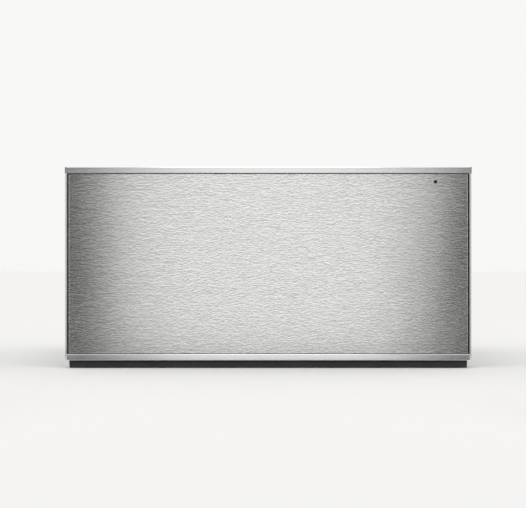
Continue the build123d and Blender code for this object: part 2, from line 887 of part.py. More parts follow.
with BuildPart() as fan_cover:
    with BuildSketch(front_plane(tub_inner_rear - cover_depth)):
        with Locations((0, fan_z)):
            RectangleRounded(cover_width, cover_height, cover_corner)
    extrude(amount=-cover_depth)
    with BuildSketch(front_plane(tub_inner_rear - cover_depth + drawer_sheet)):
        with Locations((0, fan_z)):
            RectangleRounded(
                cover_width - 2 * drawer_sheet, cover_height - 2 * drawer_sheet, cover_corner - drawer_sheet
            )
    extrude(amount=-cover_depth, mode=Mode.SUBTRACT)
    # rim that is screwed to the rear wall of the tub
    with BuildSketch(front_plane(tub_inner_rear - drawer_sheet)):
        with Locations((0, fan_z)):
            RectangleRounded(
                cover_width + 2 * cover_rim, cover_height + 2 * cover_rim, cover_corner + cover_rim
            )
            RectangleRounded(
                cover_width - 2 * drawer_sheet,
                cover_height - 2 * drawer_sheet,
                cover_corner - drawer_sheet,
                mode=Mode.SUBTRACT,
            )
    extrude(amount=-drawer_sheet)
    # inlet holes in the middle and outlet slots round them
    with BuildSketch(front_plane(tub_inner_rear - cover_depth)):
        with Locations((0, fan_z)):
            with HexLocations(cover_hole_pitch / 2, cover_hole_rows, cover_hole_rows):
                Circle(cover_hole_radius)
            with PolarLocations(cover_slot_radius, cover_slots):
                SlotOverall(cover_slot_length, cover_slot_width, rotation=90)
    extrude(amount=-drawer_sheet, mode=Mode.SUBTRACT)
save(fan_cover, "fan_cover")

with BuildPart() as fan_housing:
    rod_y(0, fan_z, tub_rear, tub_rear + drawer_sheet, housing_flange_radius)
    rod_y(0, fan_z, tub_rear, housing_rear, housing_radius + drawer_sheet)
    rod_y(0, fan_z, tub_rear, housing_rear - drawer_sheet, housing_radius, Mode.SUBTRACT)
    rod_y(0, fan_z, housing_rear - drawer_sheet, housing_rear, boss_radius + boss_clearance, Mode.SUBTRACT)
    with Locations(Location((0, housing_rear - drawer_sheet / 2, fan_z), (90, 0, 0))):
        for angle in ring_leg_angles:
            with PolarLocations(ring_radius, 1, start_angle=angle):
                Cylinder(ring_tube_radius + ring_hole_clearance, drawer_sheet, mode=Mode.SUBTRACT)
save(fan_housing, "fan_housing")

with BuildPart() as ring_heater:
    ring_centre = Vector(0, ring_y, fan_z)
    legs = [Vector(ring_radius, 0, 0).rotate(Axis.Y, -angle) for angle in ring_leg_angles]
    with BuildSketch(Plane(origin=ring_centre, x_dir=legs[0], z_dir=legs[0].cross(Vector(0, 1, 0)))):
        with Locations((ring_radius, 0)):
            Circle(ring_tube_radius)
    revolve(axis=Axis(ring_centre, (0, 1, 0)), revolution_arc=360 - ring_opening_angle)
    for leg in legs:
        end = ring_centre + leg
        rod_y(end.X, end.Z, ring_y, housing_rear + ring_leg_reach, ring_tube_radius)
        with Locations(end):
            Sphere(ring_tube_radius)
save(ring_heater, "ring_heater")

with BuildPart() as fan_motor:
    block(
        (-motor_plate_width / 2, motor_plate_width / 2),
        (housing_rear, housing_rear + motor_plate_thickness),
        (fan_z - motor_plate_height / 2, fan_z + motor_plate_height / 2),
    )
    motor_front = housing_rear + motor_plate_thickness
    block(
        (-motor_width / 2, motor_width / 2),
        (motor_front, motor_front + motor_body_length),
        (fan_z - motor_height / 2, fan_z + motor_height / 2),
    )
    chamfer(fan_motor.edges().filter_by(Axis.Y).group_by(SortBy.LENGTH)[-1], motor_bevel)
    rod_y(0, fan_z, motor_front + motor_body_length, motor_rear, motor_cap_radius)
    rod_y(0, fan_z, housing_rear - drawer_sheet, housing_rear, boss_radius)
    rod_y(
        0,
        fan_z,
        housing_rear - drawer_sheet,
        motor_rear - drawer_sheet,
        shaft_radius + bearing_clearance,
        Mode.SUBTRACT,
    )
save(fan_motor, "fan_motor")

wheel_front = tub_rear + wheel_front_gap
wheel_disc_front = wheel_front + wheel_width - wheel_disc_thickness

with BuildPart() as fan_wheel:
    rod_y(0, fan_z, wheel_disc_front, wheel_front + wheel_width, wheel_radius)
    rod_y(0, fan_z, wheel_front, wheel_front + hub_length - hub_step, hub_radius)
    rod_y(0, fan_z, wheel_front, wheel_front + wheel_disc_thickness, wheel_radius)
    rod_y(
        0,
        fan_z,
        wheel_front,
        wheel_front + wheel_disc_thickness,
        wheel_radius - wheel_ring_width,
        Mode.SUBTRACT,
    )
    rod_y(0, fan_z, wheel_front, wheel_front + wheel_disc_thickness, hub_radius)
    with BuildSketch(front_plane(wheel_front + wheel_disc_thickness / 2)):
        with Locations((0, fan_z)):
            with PolarLocations(wheel_radius - blade_length / 2, wheel_blades):
                Rectangle(blade_length, blade_thickness, rotation=blade_angle)
    extrude(amount=-(wheel_width - wheel_disc_thickness))
    rod_y(0, fan_z, wheel_front, wheel_front + hub_length, shaft_radius + hub_clearance, Mode.SUBTRACT)
save(fan_wheel, "fan_wheel")

with BuildPart() as fan_shaft:
    rod_y(0, fan_z, wheel_front, wheel_front + shaft_length, shaft_radius)
    chamfer(fan_shaft.edges().group_by(Axis.Y)[0], shaft_bevel)
save(fan_shaft, "fan_shaft")

# ---- Sensors and electrics in the drawer ----

with BuildPart() as temperature_probe:
    probe_z = tub_floor + probe_above_floor
    rod_y(probe_x, probe_z, tub_inner_rear - probe_inside, tub_rear + probe_outside, probe_radius)
    fillet(temperature_probe.edges().group_by(Axis.Y)[0], probe_radius / 2)
    rod_y(probe_x, probe_z, tub_rear, tub_rear + probe_nut_thickness, probe_nut_radius)
save(temperature_probe, "temperature_probe")

with BuildPart() as thermal_cutout:
    cutout_z = tub_floor + cutout_above_floor
    block(
        (probe_x - cutout_plate_width / 2, probe_x + cutout_plate_width / 2),
        (tub_rear, tub_rear + cutout_plate_thickness),
        (cutout_z - cutout_plate_height / 2, cutout_z + cutout_plate_height / 2),
    )
    rod_y(probe_x, cutout_z, tub_rear, tub_rear + cutout_height, cutout_radius)
    for sign in (-1, 1):
        x = probe_x + sign * cutout_radius / 2
        block(
            (x - cutout_tab_width / 2, x + cutout_tab_width / 2),
            (tub_rear + cutout_height, tub_rear + cutout_height + cutout_tab_length),
            (cutout_z - cutout_tab_thickness / 2, cutout_z + cutout_tab_thickness / 2),
        )
save(thermal_cutout, "thermal_cutout")

with BuildPart() as power_module:
    block(
        (module_x - module_width / 2, module_x + module_width / 2),
        (drawer_inner_rear - module_depth, drawer_inner_rear),
        (module_z - module_height / 2, module_z + module_height / 2),
    )
    fillet(power_module.edges().group_by(Axis.Y)[0], module_round)
    # row of connector pockets along the lower edge
    with BuildSketch(front_plane(drawer_inner_rear - module_depth)):
        with Locations((module_x, module_z - module_pocket_drop)):
            with GridLocations(module_pocket_pitch, 1, module_pockets, 1):
                Rectangle(module_pocket_width, module_pocket_height)
    extrude(amount=-module_pocket_depth, mode=Mode.SUBTRACT)
save(power_module, "power_module")

with BuildPart() as drawer_socket:
    socket_half = socket_width / 2 - screw_clearance
    socket_half_height = socket_height / 2 - screw_clearance
    block(
        (socket_x - socket_half, socket_x + socket_half),
        (drawer_inner_rear - socket_inside, drawer_rear + socket_outside),
        (socket_z - socket_half_height, socket_z + socket_half_height),
    )
    block(
        (socket_x - socket_half - socket_flange, socket_x + socket_half + socket_flange),
        (drawer_rear, drawer_rear + socket_flange_thickness),
        (socket_z - socket_half_height - socket_flange, socket_z + socket_half_height + socket_flange),
    )
    with BuildSketch(front_plane(drawer_rear + socket_outside)):
        with Locations((socket_x, socket_z)):
            Rectangle(2 * (socket_half - socket_wall), 2 * (socket_half_height - socket_wall))
            with GridLocations(socket_pin_pitch, 1, socket_pins, 1):
                Circle(socket_pin_radius, mode=Mode.SUBTRACT)
    extrude(amount=socket_pocket_depth, mode=Mode.SUBTRACT)
save(drawer_socket, "drawer_socket")

# ---- Runners, one set on each side ----

member_y = (member_front, member_front + member_length)

with BuildPart() as rail_brackets:
    for sign in (-1, 1):
        with BuildSketch(front_plane(inside_front)):
            with BuildLine():
                inner_face = casing_inner_half - bracket_sheet
                half_profile = [
                    (rail_face, bracket_web_half),
                    (inner_face, bracket_web_half),
                    (inner_face, bracket_half),
                    (casing_inner_half, bracket_half),
                    (casing_inner_half, bracket_web_half - bracket_sheet),
                    (rail_face + bracket_sheet, bracket_web_half - bracket_sheet),
                ]
                lower_profile = [(x, -v) for x, v in half_profile[::-1]]
                Polyline(*[(sign * x, rail_z + v) for x, v in half_profile + lower_profile], close=True)
            make_face()
        extrude(amount=-bracket_length)
        for y in rail_screw_ys:
            rod_x(
                y,
                rail_z,
                sign * rail_face,
                sign * (rail_face + bracket_sheet),
                rail_screw_radius + screw_clearance,
                Mode.SUBTRACT,
            )
        for y, z in bracket_screws:
            rod_x(
                y,
                z,
                sign * inner_face,
                sign * casing_inner_half,
                screw_radius + screw_clearance,
                Mode.SUBTRACT,
            )
save(rail_brackets, "rail_brackets")

with BuildPart() as rail_outers:
    for sign in (-1, 1):
        with BuildSketch(front_plane(rail_front)):
            with BuildLine():
                half_profile = [
                    (0, rail_height / 2),
                    (outer_lip_u, rail_height / 2),
                    (outer_lip_u, outer_race - rail_lip_return),
                    (outer_lip_u - rail_sheet, outer_race - rail_lip_return),
                    (outer_lip_u - rail_sheet, outer_race),
                    (rail_sheet, outer_race),
                ]
                lower_profile = [(u, -v) for u, v in half_profile[::-1]]
                outline = half_profile + lower_profile
                Polyline(*[(sign * (rail_face - u), rail_z + v) for u, v in outline], close=True)
            make_face()
        extrude(amount=-rail_length)
        # tab that stops the middle member at the back
        block(
            (sign * (rail_face - rail_sheet), sign * (rail_face - middle_web_u - 2 * rail_sheet)),
            (rail_front + rail_length - rail_sheet, rail_front + rail_length),
            (rail_z - rail_end_tab / 2, rail_z + rail_end_tab / 2),
        )
        for y in rail_screw_ys:
            rod_x(
                y,
                rail_z,
                sign * (rail_face - rail_sheet),
                sign * rail_face,
                rail_screw_radius + screw_clearance,
                Mode.SUBTRACT,
            )
save(rail_outers, "rail_outers")

for side, sign in (("left", -1), ("right", 1)):
    with BuildPart() as rail_middle:
        with BuildSketch(front_plane(member_y[0])):
            with BuildLine():
                half_profile = [
                    (middle_web_u, middle_half),
                    (middle_lip_u, middle_half),
                    (middle_lip_u, middle_race),
                    (middle_web_u + rail_sheet, middle_race),
                ]
                lower_profile = [(u, -v) for u, v in half_profile[::-1]]
                outline = half_profile + lower_profile
                Polyline(*[(sign * (rail_face - u), rail_z + v) for u, v in outline], close=True)
            make_face()
        extrude(amount=-member_length)
    save(rail_middle, f"{side}_rail_middle")

with BuildPart() as rail_inners:
    for sign in (-1, 1):
        with BuildSketch(front_plane(member_y[0])):
            with BuildLine():
                half_profile = [
                    (rail_stack, inner_half),
                    (inner_tip_u, inner_half),
                    (inner_tip_u, inner_half - rail_sheet),
                    (inner_web_u, inner_half - rail_sheet),
                ]
                lower_profile = [(u, -v) for u, v in half_profile[::-1]]
                outline = half_profile + lower_profile
                Polyline(*[(sign * (rail_face - u), rail_z + v) for u, v in outline], close=True)
            make_face()
        extrude(amount=-member_length)
        for y in rail_screw_ys:
            rod_x(
                y,
                rail_z,
                sign * drawer_half,
                sign * (drawer_half + rail_sheet),
                rail_screw_radius + screw_clearance,
                Mode.SUBTRACT,
            )
save(rail_inners, "rail_inners")

# Each cage is a thin channel whose strips hold a row of balls above and below
ball_pitch = (cage_length - 2 * cage_end) / (balls_in_row - 1)
ball_ys = [cage_front + cage_end + index * ball_pitch for index in range(balls_in_row)]
cages = (("outer", outer_cage_u, outer_row, outer_ball), ("inner", inner_cage_u, inner_row, inner_ball))
for side, sign in (("left", -1), ("right", 1)):
    for kind, web_u, row_v, ball in cages:
        cage_y = (cage_front, cage_front + cage_length)
        ball_x = sign * (rail_face - row_u)
        strip_x = (sign * (rail_face - web_u), sign * (rail_face - row_u - cage_strip_reach))
        web_x = (sign * (rail_face - web_u), sign * (rail_face - web_u - cage_sheet))
        strip_edge = row_v + cage_strip / 2
        with BuildPart() as cage:
            block(web_x, cage_y, (rail_z - strip_edge, rail_z + strip_edge))
            for v in (-row_v, row_v):
                block(strip_x, cage_y, (rail_z + v - cage_strip / 2, rail_z + v + cage_strip / 2))
                for y in ball_ys:
                    with Locations((ball_x, y, rail_z + v)):
                        Cylinder(ball / 2 + 2 * ball_clearance, 2 * cage_strip, mode=Mode.SUBTRACT)
                        Sphere(ball / 2)
        save(cage, f"{side}_{kind}_cage")

# ---- Push-to-open unit ----

latch_front = casing_inner_rear - latch_depth
striker_rear = drawer_rear + striker_thickness

with BuildPart() as latch_striker:
    block(
        (-striker_width / 2, striker_width / 2),
        (drawer_rear, striker_rear),
        (latch_z - striker_height / 2, latch_z + striker_height / 2),
    )
    fillet(latch_striker.edges().filter_by(Axis.Y), striker_corner)
save(latch_striker, "latch_striker")

with BuildPart() as latch_housing:
    block(
        (-latch_width / 2, latch_width / 2),
        (latch_front, casing_inner_rear),
        (latch_z - latch_height / 2, latch_z + latch_height / 2),
    )
    chamfer(latch_housing.edges().group_by(Axis.Y)[0], latch_bevel)
    for sign in (-1, 1):
        ear_x = sign * latch_width / 2
        block(
            (ear_x, ear_x + sign * latch_ear),
            (casing_inner_rear - latch_ear_thickness, casing_inner_rear),
            (latch_z - latch_height / 2, latch_z + latch_height / 2),
        )
        rod_y(
            ear_x + sign * latch_ear / 2,
            latch_z,
            casing_inner_rear - latch_ear_thickness,
            casing_inner_rear,
            latch_ear_hole,
            Mode.SUBTRACT,
        )
    rod_y(
        0,
        latch_z,
        latch_front,
        latch_front + latch_guide_length,
        plunger_radius + plunger_clearance,
        Mode.SUBTRACT,
    )
    rod_y(0, latch_z, latch_front + latch_guide_length, casing_inner_rear, latch_bore_radius, Mode.SUBTRACT)
save(latch_housing, "latch_housing")

collar_front = latch_front + latch_guide_length + plunger_seat_gap
collar_rear = collar_front + plunger_collar_thickness

with BuildPart() as latch_plunger:
    rod_y(0, latch_z, striker_rear + plunger_gap, collar_front, plunger_radius)
    fillet(latch_plunger.edges().group_by(Axis.Y)[0], plunger_radius / 2)
    rod_y(0, latch_z, collar_front, collar_rear, plunger_collar_radius)
    rod_y(0, latch_z, collar_rear, collar_rear + plunger_pin_length, plunger_pin_radius)
save(latch_plunger, "latch_plunger")

with BuildPart() as latch_spring:
    coil_start = collar_rear + spring_wire / 2 + spring_end_gap
    coil_height = casing_inner_rear - spring_wire / 2 - spring_end_gap - coil_start
    with BuildLine() as coil:
        Helix(coil_height / spring_turns, coil_height, spring_radius, (0, coil_start, latch_z), (0, 1, 0))
    with BuildSketch(Plane(origin=coil.line @ 0, z_dir=coil.line % 0)):
        Circle(spring_wire / 2)
    sweep(is_frenet=True)
save(latch_spring, "latch_spring")

# ---- Casing ----

with BuildPart() as base_plate:
    block((-casing_inner_half, casing_inner_half), (carcass_plane, casing_rear), (0, base_sheet))
    for sign in (-1, 1):
        block(
            (sign * (casing_inner_half - base_sheet), sign * casing_inner_half),
            (carcass_plane + fold_end_gap, casing_rear - fold_end_gap),
            (base_sheet, base_sheet + fold_height),
        )
        for y, z in base_screws:
            rod_x(
                y,
                z,
                sign * (casing_inner_half - base_sheet),
                sign * casing_inner_half,
                screw_radius + screw_clearance,
                Mode.SUBTRACT,
            )
    with BuildSketch(Plane.XY):
        with Locations((0, casing_rear - base_vent_setback)):
            with GridLocations(vent_pitch_x, 1, base_vent_columns, 1):
                SlotOverall(vent_slot_length, vent_slot_height)
    extrude(amount=base_sheet, mode=Mode.SUBTRACT)
save(base_plate, "base_plate")

with BuildPart() as side_panels:
    for sign in (-1, 1):
        side_x = (sign * casing_inner_half, sign * casing_half)
        block(side_x, (carcass_plane, casing_rear), (0, casing_height))
        for y, z in side_screws:
            rod_x(
                y,
                z,
                sign * casing_inner_half,
                sign * casing_half,
                screw_radius + screw_clearance,
                Mode.SUBTRACT,
            )
save(side_panels, "side_panels")

with BuildPart() as top_panel:
    block(
        (-casing_inner_half, casing_inner_half),
        (carcass_plane, casing_rear),
        (casing_inner_top, casing_height),
    )
    for sign in (-1, 1):
        block(
            (sign * (casing_inner_half - casing_sheet), sign * casing_inner_half),
            (carcass_plane + fold_end_gap, casing_rear - fold_end_gap),
            (top_fold_bottom, casing_inner_top),
        )
        for y, z in top_screws:
            rod_x(
                y,
                z,
                sign * (casing_inner_half - casing_sheet),
                sign * casing_inner_half,
                screw_radius + screw_clearance,
                Mode.SUBTRACT,
            )
save(top_panel, "top_panel")

with BuildPart() as rear_panel:
    with BuildSketch(front_plane(casing_inner_rear)):
        with Locations((0, (base_sheet + casing_inner_top) / 2)):
            Rectangle(2 * casing_inner_half, casing_inner_top - base_sheet)
        with Locations((0, vent_centre_z)):
            with GridLocations(vent_pitch_x, vent_pitch_z, vent_columns, vent_rows):
                SlotOverall(vent_slot_length, vent_slot_height, mode=Mode.SUBTRACT)
        with Locations((terminal_x, terminal_z)):
            Circle(gland_thread_radius + gland_clearance, mode=Mode.SUBTRACT)
    extrude(amount=-casing_sheet)
    for sign in (-1, 1):
        block(
            (sign * (casing_inner_half - casing_sheet), sign * casing_inner_half),
            (casing_inner_rear - fold_height, casing_inner_rear),
            (rear_fold_bottom, rear_fold_top),
        )
        for y, z in rear_screws:
            rod_x(
                y,
                z,
                sign * (casing_inner_half - casing_sheet),
                sign * casing_inner_half,
                screw_radius + screw_clearance,
                Mode.SUBTRACT,
            )
save(rear_panel, "rear_panel")

with BuildPart() as front_flange:
    with BuildSketch(front_plane(flange_front)):
        with Locations((0, flange_height / 2)):
            RectangleRounded(flange_width, flange_height, flange_corner)
        with Locations((0, (lower_leg_height + ceiling_bottom) / 2)):
            Rectangle(2 * opening_half, ceiling_bottom - lower_leg_height, mode=Mode.SUBTRACT)
        with Locations((0, mount_centre_z)):
            with GridLocations(mount_spacing_x, mount_spacing_z, 2, 2):
                Circle(mount_hole_radius, mode=Mode.SUBTRACT)
    extrude(amount=-flange_thickness)
    # step, so that only the rim outside the niche bears on the kitchen unit
    seat_front = carcass_plane - seat_step
    niche_half = casing_half + niche_clearance
    block(
        (-niche_half, niche_half),
        (seat_front, carcass_plane),
        (0, casing_height + niche_clearance),
        Mode.SUBTRACT,
    )
    # collars that are screwed to the side panels
    for sign in (-1, 1):
        block(
            (sign * (casing_inner_half - casing_sheet), sign * casing_inner_half),
            (seat_front, carcass_plane + collar_depth),
            (rear_fold_bottom, rear_fold_top),
        )
        for y, z in collar_screws:
            rod_x(
                y,
                z,
                sign * (casing_inner_half - casing_sheet),
                sign * casing_inner_half,
                screw_radius + screw_clearance,
                Mode.SUBTRACT,
            )
save(front_flange, "front_flange")

# Trim under the front: a floor with a lip at its front and a tall lip against the flange
with BuildPart() as lower_trim:
    with BuildSketch(Plane.YZ):
        with BuildLine():
            trim_front = front_face + trim_recess
            Polyline(
                (trim_front, 0),
                (trim_front, trim_height),
                (trim_front + trim_sheet, trim_height),
                (trim_front + trim_sheet, trim_sheet),
                (flange_front - trim_sheet, trim_sheet),
                (flange_front - trim_sheet, trim_height),
                (flange_front, trim_height),
                (flange_front, 0),
                close=True,
            )
        make_face()
    extrude(amount=trim_width / 2, both=True)
    chamfer(lower_trim.edges().filter_by(Axis.X).group_by(Axis.Y)[0], trim_bevel)
save(lower_trim, "lower_trim")

with BuildPart() as stop_buffers:
    with BuildSketch(front_plane(flange_front)):
        with Locations((0, mount_centre_z)):
            with GridLocations(buffer_spacing_x, buffer_spacing_z, 2, 2):
                Circle(buffer_radius)
    extrude(amount=buffer_thickness)
    fillet(stop_buffers.edges().group_by(Axis.Y)[0], buffer_round)
save(stop_buffers, "stop_buffers")

with BuildPart() as ceiling_panel:
    block(
        (-casing_inner_half, casing_inner_half),
        (carcass_plane, casing_inner_rear - ceiling_rear_gap),
        (ceiling_bottom, ceiling_top),
    )
    for sign in (-1, 1):
        block(
            (sign * (casing_inner_half - casing_sheet), sign * casing_inner_half),
            (inside_front, casing_inner_rear - ceiling_rear_gap),
            (ceiling_bottom - ceiling_fold, ceiling_bottom),
        )
save(ceiling_panel, "ceiling_panel")

with BuildPart() as ceiling_insulation:
    slab_half = casing_inner_half - casing_sheet - screw_reach - insulation_clearance
    block(
        (-slab_half, slab_half),
        (inside_front, casing_inner_rear - ceiling_rear_gap),
        (ceiling_top, casing_inner_top - insulation_clearance),
    )
save(ceiling_insulation, "ceiling_insulation")

# ---- Mains connection ----

terminal_front = casing_inner_rear - terminal_depth

with BuildPart() as terminal_box:
    block(
        (terminal_x - terminal_width / 2, terminal_x + terminal_width / 2),
        (terminal_front, casing_inner_rear),
        (terminal_z - terminal_height / 2, terminal_z + terminal_height / 2),
    )
    block(
        (terminal_x - terminal_width / 2 + terminal_wall, terminal_x + terminal_width / 2 - terminal_wall),
        (terminal_front, casing_inner_rear - terminal_wall),
        (terminal_z - terminal_height / 2 + terminal_wall, terminal_z + terminal_height / 2 - terminal_wall),
        Mode.SUBTRACT,
    )
    rod_y(
        terminal_x,
        terminal_z,
        casing_inner_rear - terminal_wall,
        casing_inner_rear,
        gland_thread_radius + gland_clearance,
        Mode.SUBTRACT,
    )
    # terminal strip on the back wall, above the gland
    strip_z = terminal_z + terminal_strip_lift
    with Locations((terminal_x, casing_inner_rear - terminal_wall, strip_z)):
        with GridLocations(terminal_pole_pitch, 1, terminal_poles, 1):
            Box(
                terminal_pole_width,
                terminal_pole_width,
                terminal_pole_height,
                align=(Align.CENTER, Align.MAX, Align.CENTER),
            )
save(terminal_box, "terminal_box")

with BuildPart() as terminal_lid:
    block(
        (terminal_x - terminal_width / 2, terminal_x + terminal_width / 2),
        (terminal_front - terminal_wall, terminal_front),
        (terminal_z - terminal_height / 2, terminal_z + terminal_height / 2),
    )
    fillet(terminal_lid.edges().filter_by(Axis.Y), terminal_lid_corner)
    lip = terminal_wall + 2 * screw_clearance
    block(
        (terminal_x - terminal_width / 2 + lip, terminal_x + terminal_width / 2 - lip),
        (terminal_front, terminal_front + terminal_lid_lip),
        (terminal_z - terminal_height / 2 + lip, terminal_z + terminal_height / 2 - lip),
    )
save(terminal_lid, "terminal_lid")

gland_inner_end = casing_inner_rear - terminal_wall - gland_nut_thickness

with BuildPart() as cable_gland:
    rod_y(terminal_x, terminal_z, gland_inner_end, casing_rear, gland_thread_radius)
    with BuildSketch(front_plane(casing_rear)):
        with Locations((terminal_x, terminal_z)):
            RegularPolygon(gland_nut_across / 2, 6, major_radius=False)
    extrude(amount=-gland_nut_thickness)
    with BuildSketch(front_plane(gland_inner_end)):
        with Locations((terminal_x, terminal_z)):
            RegularPolygon(gland_nut_across / 2, 6, major_radius=False)
    extrude(amount=-gland_nut_thickness)
    dome_front = casing_rear + gland_nut_thickness
    rod_y(terminal_x, terminal_z, dome_front, casing_rear + gland_reach, gland_dome_radius)
    fillet(cable_gland.edges().group_by(Axis.Y)[-1], gland_dome_round)
    rod_y(
        terminal_x,
        terminal_z,
        gland_inner_end,
        casing_rear + gland_reach,
        gland_bore_radius,
        Mode.SUBTRACT,
    )
save(cable_gland, "cable_gland")

# ---- Screws ----

with BuildPart() as casing_screws:
    for sign in (-1, 1):
        for y, z in side_screws:
            rod_x(y, z, sign * casing_half, sign * (casing_half + screw_head_height), screw_head_radius)
            rod_x(
                y,
                z,
                sign * (casing_half + screw_head_height / 2),
                sign * (casing_inner_half - casing_sheet - screw_reach),
                screw_radius,
            )
        for y in rail_screw_ys:
            head = rail_face + bracket_sheet
            rod_x(y, rail_z, sign * head, sign * (head + rail_screw_head_height), rail_screw_head)
            rod_x(y, rail_z, sign * (rail_face - rail_sheet), sign * head, rail_screw_radius)
save(casing_screws, "casing_screws")

with BuildPart() as drawer_screws:
    screw_places = [(x, front_bottom + front_screw_edge) for x in front_screw_xs]
    screw_places += [(x, front_top - front_screw_edge) for x in top_screw_xs]
    for x, z in screw_places:
        rod_y(x, z, front_back, front_back + screw_head_height, screw_head_radius)
        rod_y(x, z, frame_back - front_screw_depth, front_back, screw_radius)
    for sign in (-1, 1):
        for y in rail_screw_ys:
            head = drawer_half + rail_sheet
            rod_x(y, rail_z, sign * head, sign * (head + rail_screw_head_height), rail_screw_head)
            rod_x(y, rail_z, sign * (drawer_inner_half - rail_screw_reach), sign * head, rail_screw_radius)
save(drawer_screws, "drawer_screws")
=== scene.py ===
# Built-in warming drawer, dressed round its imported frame. Lengths are in metres where nothing else is said.
import json
import math

import bmesh
import bpy
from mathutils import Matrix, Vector, noise


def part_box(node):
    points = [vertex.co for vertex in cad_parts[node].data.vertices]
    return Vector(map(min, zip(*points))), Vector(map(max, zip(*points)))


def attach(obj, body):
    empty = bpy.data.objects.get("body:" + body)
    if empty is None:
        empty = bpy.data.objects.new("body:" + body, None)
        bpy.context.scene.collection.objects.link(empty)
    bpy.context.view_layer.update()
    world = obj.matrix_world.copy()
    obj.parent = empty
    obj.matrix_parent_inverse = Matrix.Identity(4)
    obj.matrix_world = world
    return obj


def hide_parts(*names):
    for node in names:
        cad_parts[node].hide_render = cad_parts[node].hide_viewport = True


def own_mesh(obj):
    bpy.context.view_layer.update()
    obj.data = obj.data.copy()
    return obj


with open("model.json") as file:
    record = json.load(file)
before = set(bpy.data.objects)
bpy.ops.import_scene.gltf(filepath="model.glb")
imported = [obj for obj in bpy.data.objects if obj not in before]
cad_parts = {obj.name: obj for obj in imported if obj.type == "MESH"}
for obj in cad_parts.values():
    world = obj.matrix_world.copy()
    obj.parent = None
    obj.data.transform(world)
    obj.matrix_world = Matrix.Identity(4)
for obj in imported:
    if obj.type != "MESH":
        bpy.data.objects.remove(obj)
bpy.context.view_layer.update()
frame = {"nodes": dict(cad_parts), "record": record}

mm = 0.001
weld = 0.00001  # corners nearer than this are one
nodes = frame["nodes"]
print("frame loaded:", len(nodes), "nodes")


def colour(code):  # sRGB hex to the linear colour that the shaders take
    parts = [int(code[start:start + 2], 16) / 255 for start in (1, 3, 5)]
    return (*[part / 12.92 if part <= 0.04045 else ((part + 0.055) / 1.055) ** 2.4 for part in parts], 1.0)


def addNode(tree, kind, settings=(), inputs=()):
    node = tree.nodes.new(kind)
    for name, value in dict(settings).items():
        setattr(node, name, value)
    for name, value in dict(inputs).items():
        if isinstance(value, bpy.types.NodeSocket):
            tree.links.new(value, node.inputs[name])
        else:
            node.inputs[name].default_value = value
    return node


def newMaterial(name, look):  # a Principled material; look sets its own sockets
    material = bpy.data.materials.new(name)
    material.use_nodes = True
    shader = material.node_tree.nodes["Principled BSDF"]
    for socket, value in look.items():
        shader.inputs[socket].default_value = value
    return material, material.node_tree, shader


def patternPlace(tree, size):  # Object coordinates in which one unit is the given size in millimetres
    place = addNode(tree, "ShaderNodeTexCoord")
    scale = [1 / (length * mm) for length in size]
    mapping = addNode(tree, "ShaderNodeMapping", inputs={"Vector": place.outputs["Object"], "Scale": scale})
    return mapping.outputs["Vector"]


def noiseAt(tree, place, detail=1.0, roughness=0.5, scale=1.0):
    return addNode(tree, "ShaderNodeTexNoise", {"noise_dimensions": "3D"}, {
        "Vector": place, "Scale": scale, "Detail": detail, "Roughness": roughness})


def dressShader(tree, shader, look, tintBy, glossBy, height, glossFrom=(0.0, 1.0)):
    # Colour between the look's two ends, gloss between its two, and a relief of its depth in millimetres
    tint = addNode(tree, "ShaderNodeMix", {"data_type": "RGBA"}, {
        "Factor": tintBy, "A": colour(look["dark"]), "B": colour(look["light"])})
    gloss = addNode(tree, "ShaderNodeMapRange", (), {
        "Value": glossBy, "From Min": glossFrom[0], "From Max": glossFrom[1],
        "To Min": look["rough"][0], "To Max": look["rough"][1]})
    relief = addNode(tree, "ShaderNodeBump", (), {
        "Height": height, "Strength": look["reliefShare"], "Distance": look["relief"] * mm})
    tree.links.new(tint.outputs[2], shader.inputs["Base Color"])
    tree.links.new(gloss.outputs["Result"], shader.inputs["Roughness"])
    tree.links.new(relief.outputs["Normal"], shader.inputs["Normal"])


acrossTangent = 0.25  # of a turn, by which Cycles has to turn the streaks to lay them across the tangent


def groundMetal(name, look):
    # Short scratches all one way: they vary the colour a little and the gloss more. Where the look gives a
    # share for it, each scratch also gets a painted shadow below it: the same noise, read a little higher up,
    # is taken off the colour and gloss, as if lit from above. The furrows tilt the surface across their
    # length, so a lamp smears across the grain, and the belt layer is the belt's uneven pressure.
    material, tree, shader = newMaterial(name, {
        "Metallic": 1.0, "Anisotropic": look["anisotropy"], "Anisotropic Rotation": acrossTangent})
    strokes = patternPlace(tree, look["scratch"])
    # Painted shade: the strokes' pattern moved up, so that taking it off darkens the band below each stroke
    shadowPlace = addNode(tree, "ShaderNodeVectorMath", {"operation": "ADD"}, {
        0: strokes, 1: (0, 0, look.get("paintedShadowDrop", 1.0))})
    furrows = noiseAt(tree, patternPlace(tree, look.get("furrow", look["scratch"])), 2.0, 0.6)
    layers = ((noiseAt(tree, shadowPlace.outputs[0]), -look.get("paintedShadowShare", 0.0)),
              (noiseAt(tree, patternPlace(tree, look["belt"])), look["beltShare"]),
              (furrows, look.get("furrowShare", 0.0)))
    total, middle, spread = noiseAt(tree, strokes).outputs["Fac"], 0.5, look.get("spread", 0.25)
    for layer, share in layers:  # each noise has its middle at a half
        total = addNode(tree, "ShaderNodeMath", {"operation": "MULTIPLY_ADD"}, {
            0: layer.outputs["Fac"], 1: share, 2: total}).outputs[0]
        middle += 0.5 * share
    level = addNode(tree, "ShaderNodeMapRange", (), {
        "Value": total, "From Min": middle - spread, "From Max": middle + spread}).outputs["Result"]
    dressShader(tree, shader, look, level, level, furrows.outputs["Fac"])
    along = addNode(tree, "ShaderNodeTangent", {"direction_type": "RADIAL", "axis": look["tangentRound"]})
    tree.links.new(along.outputs["Tangent"], shader.inputs["Tangent"])
    return material
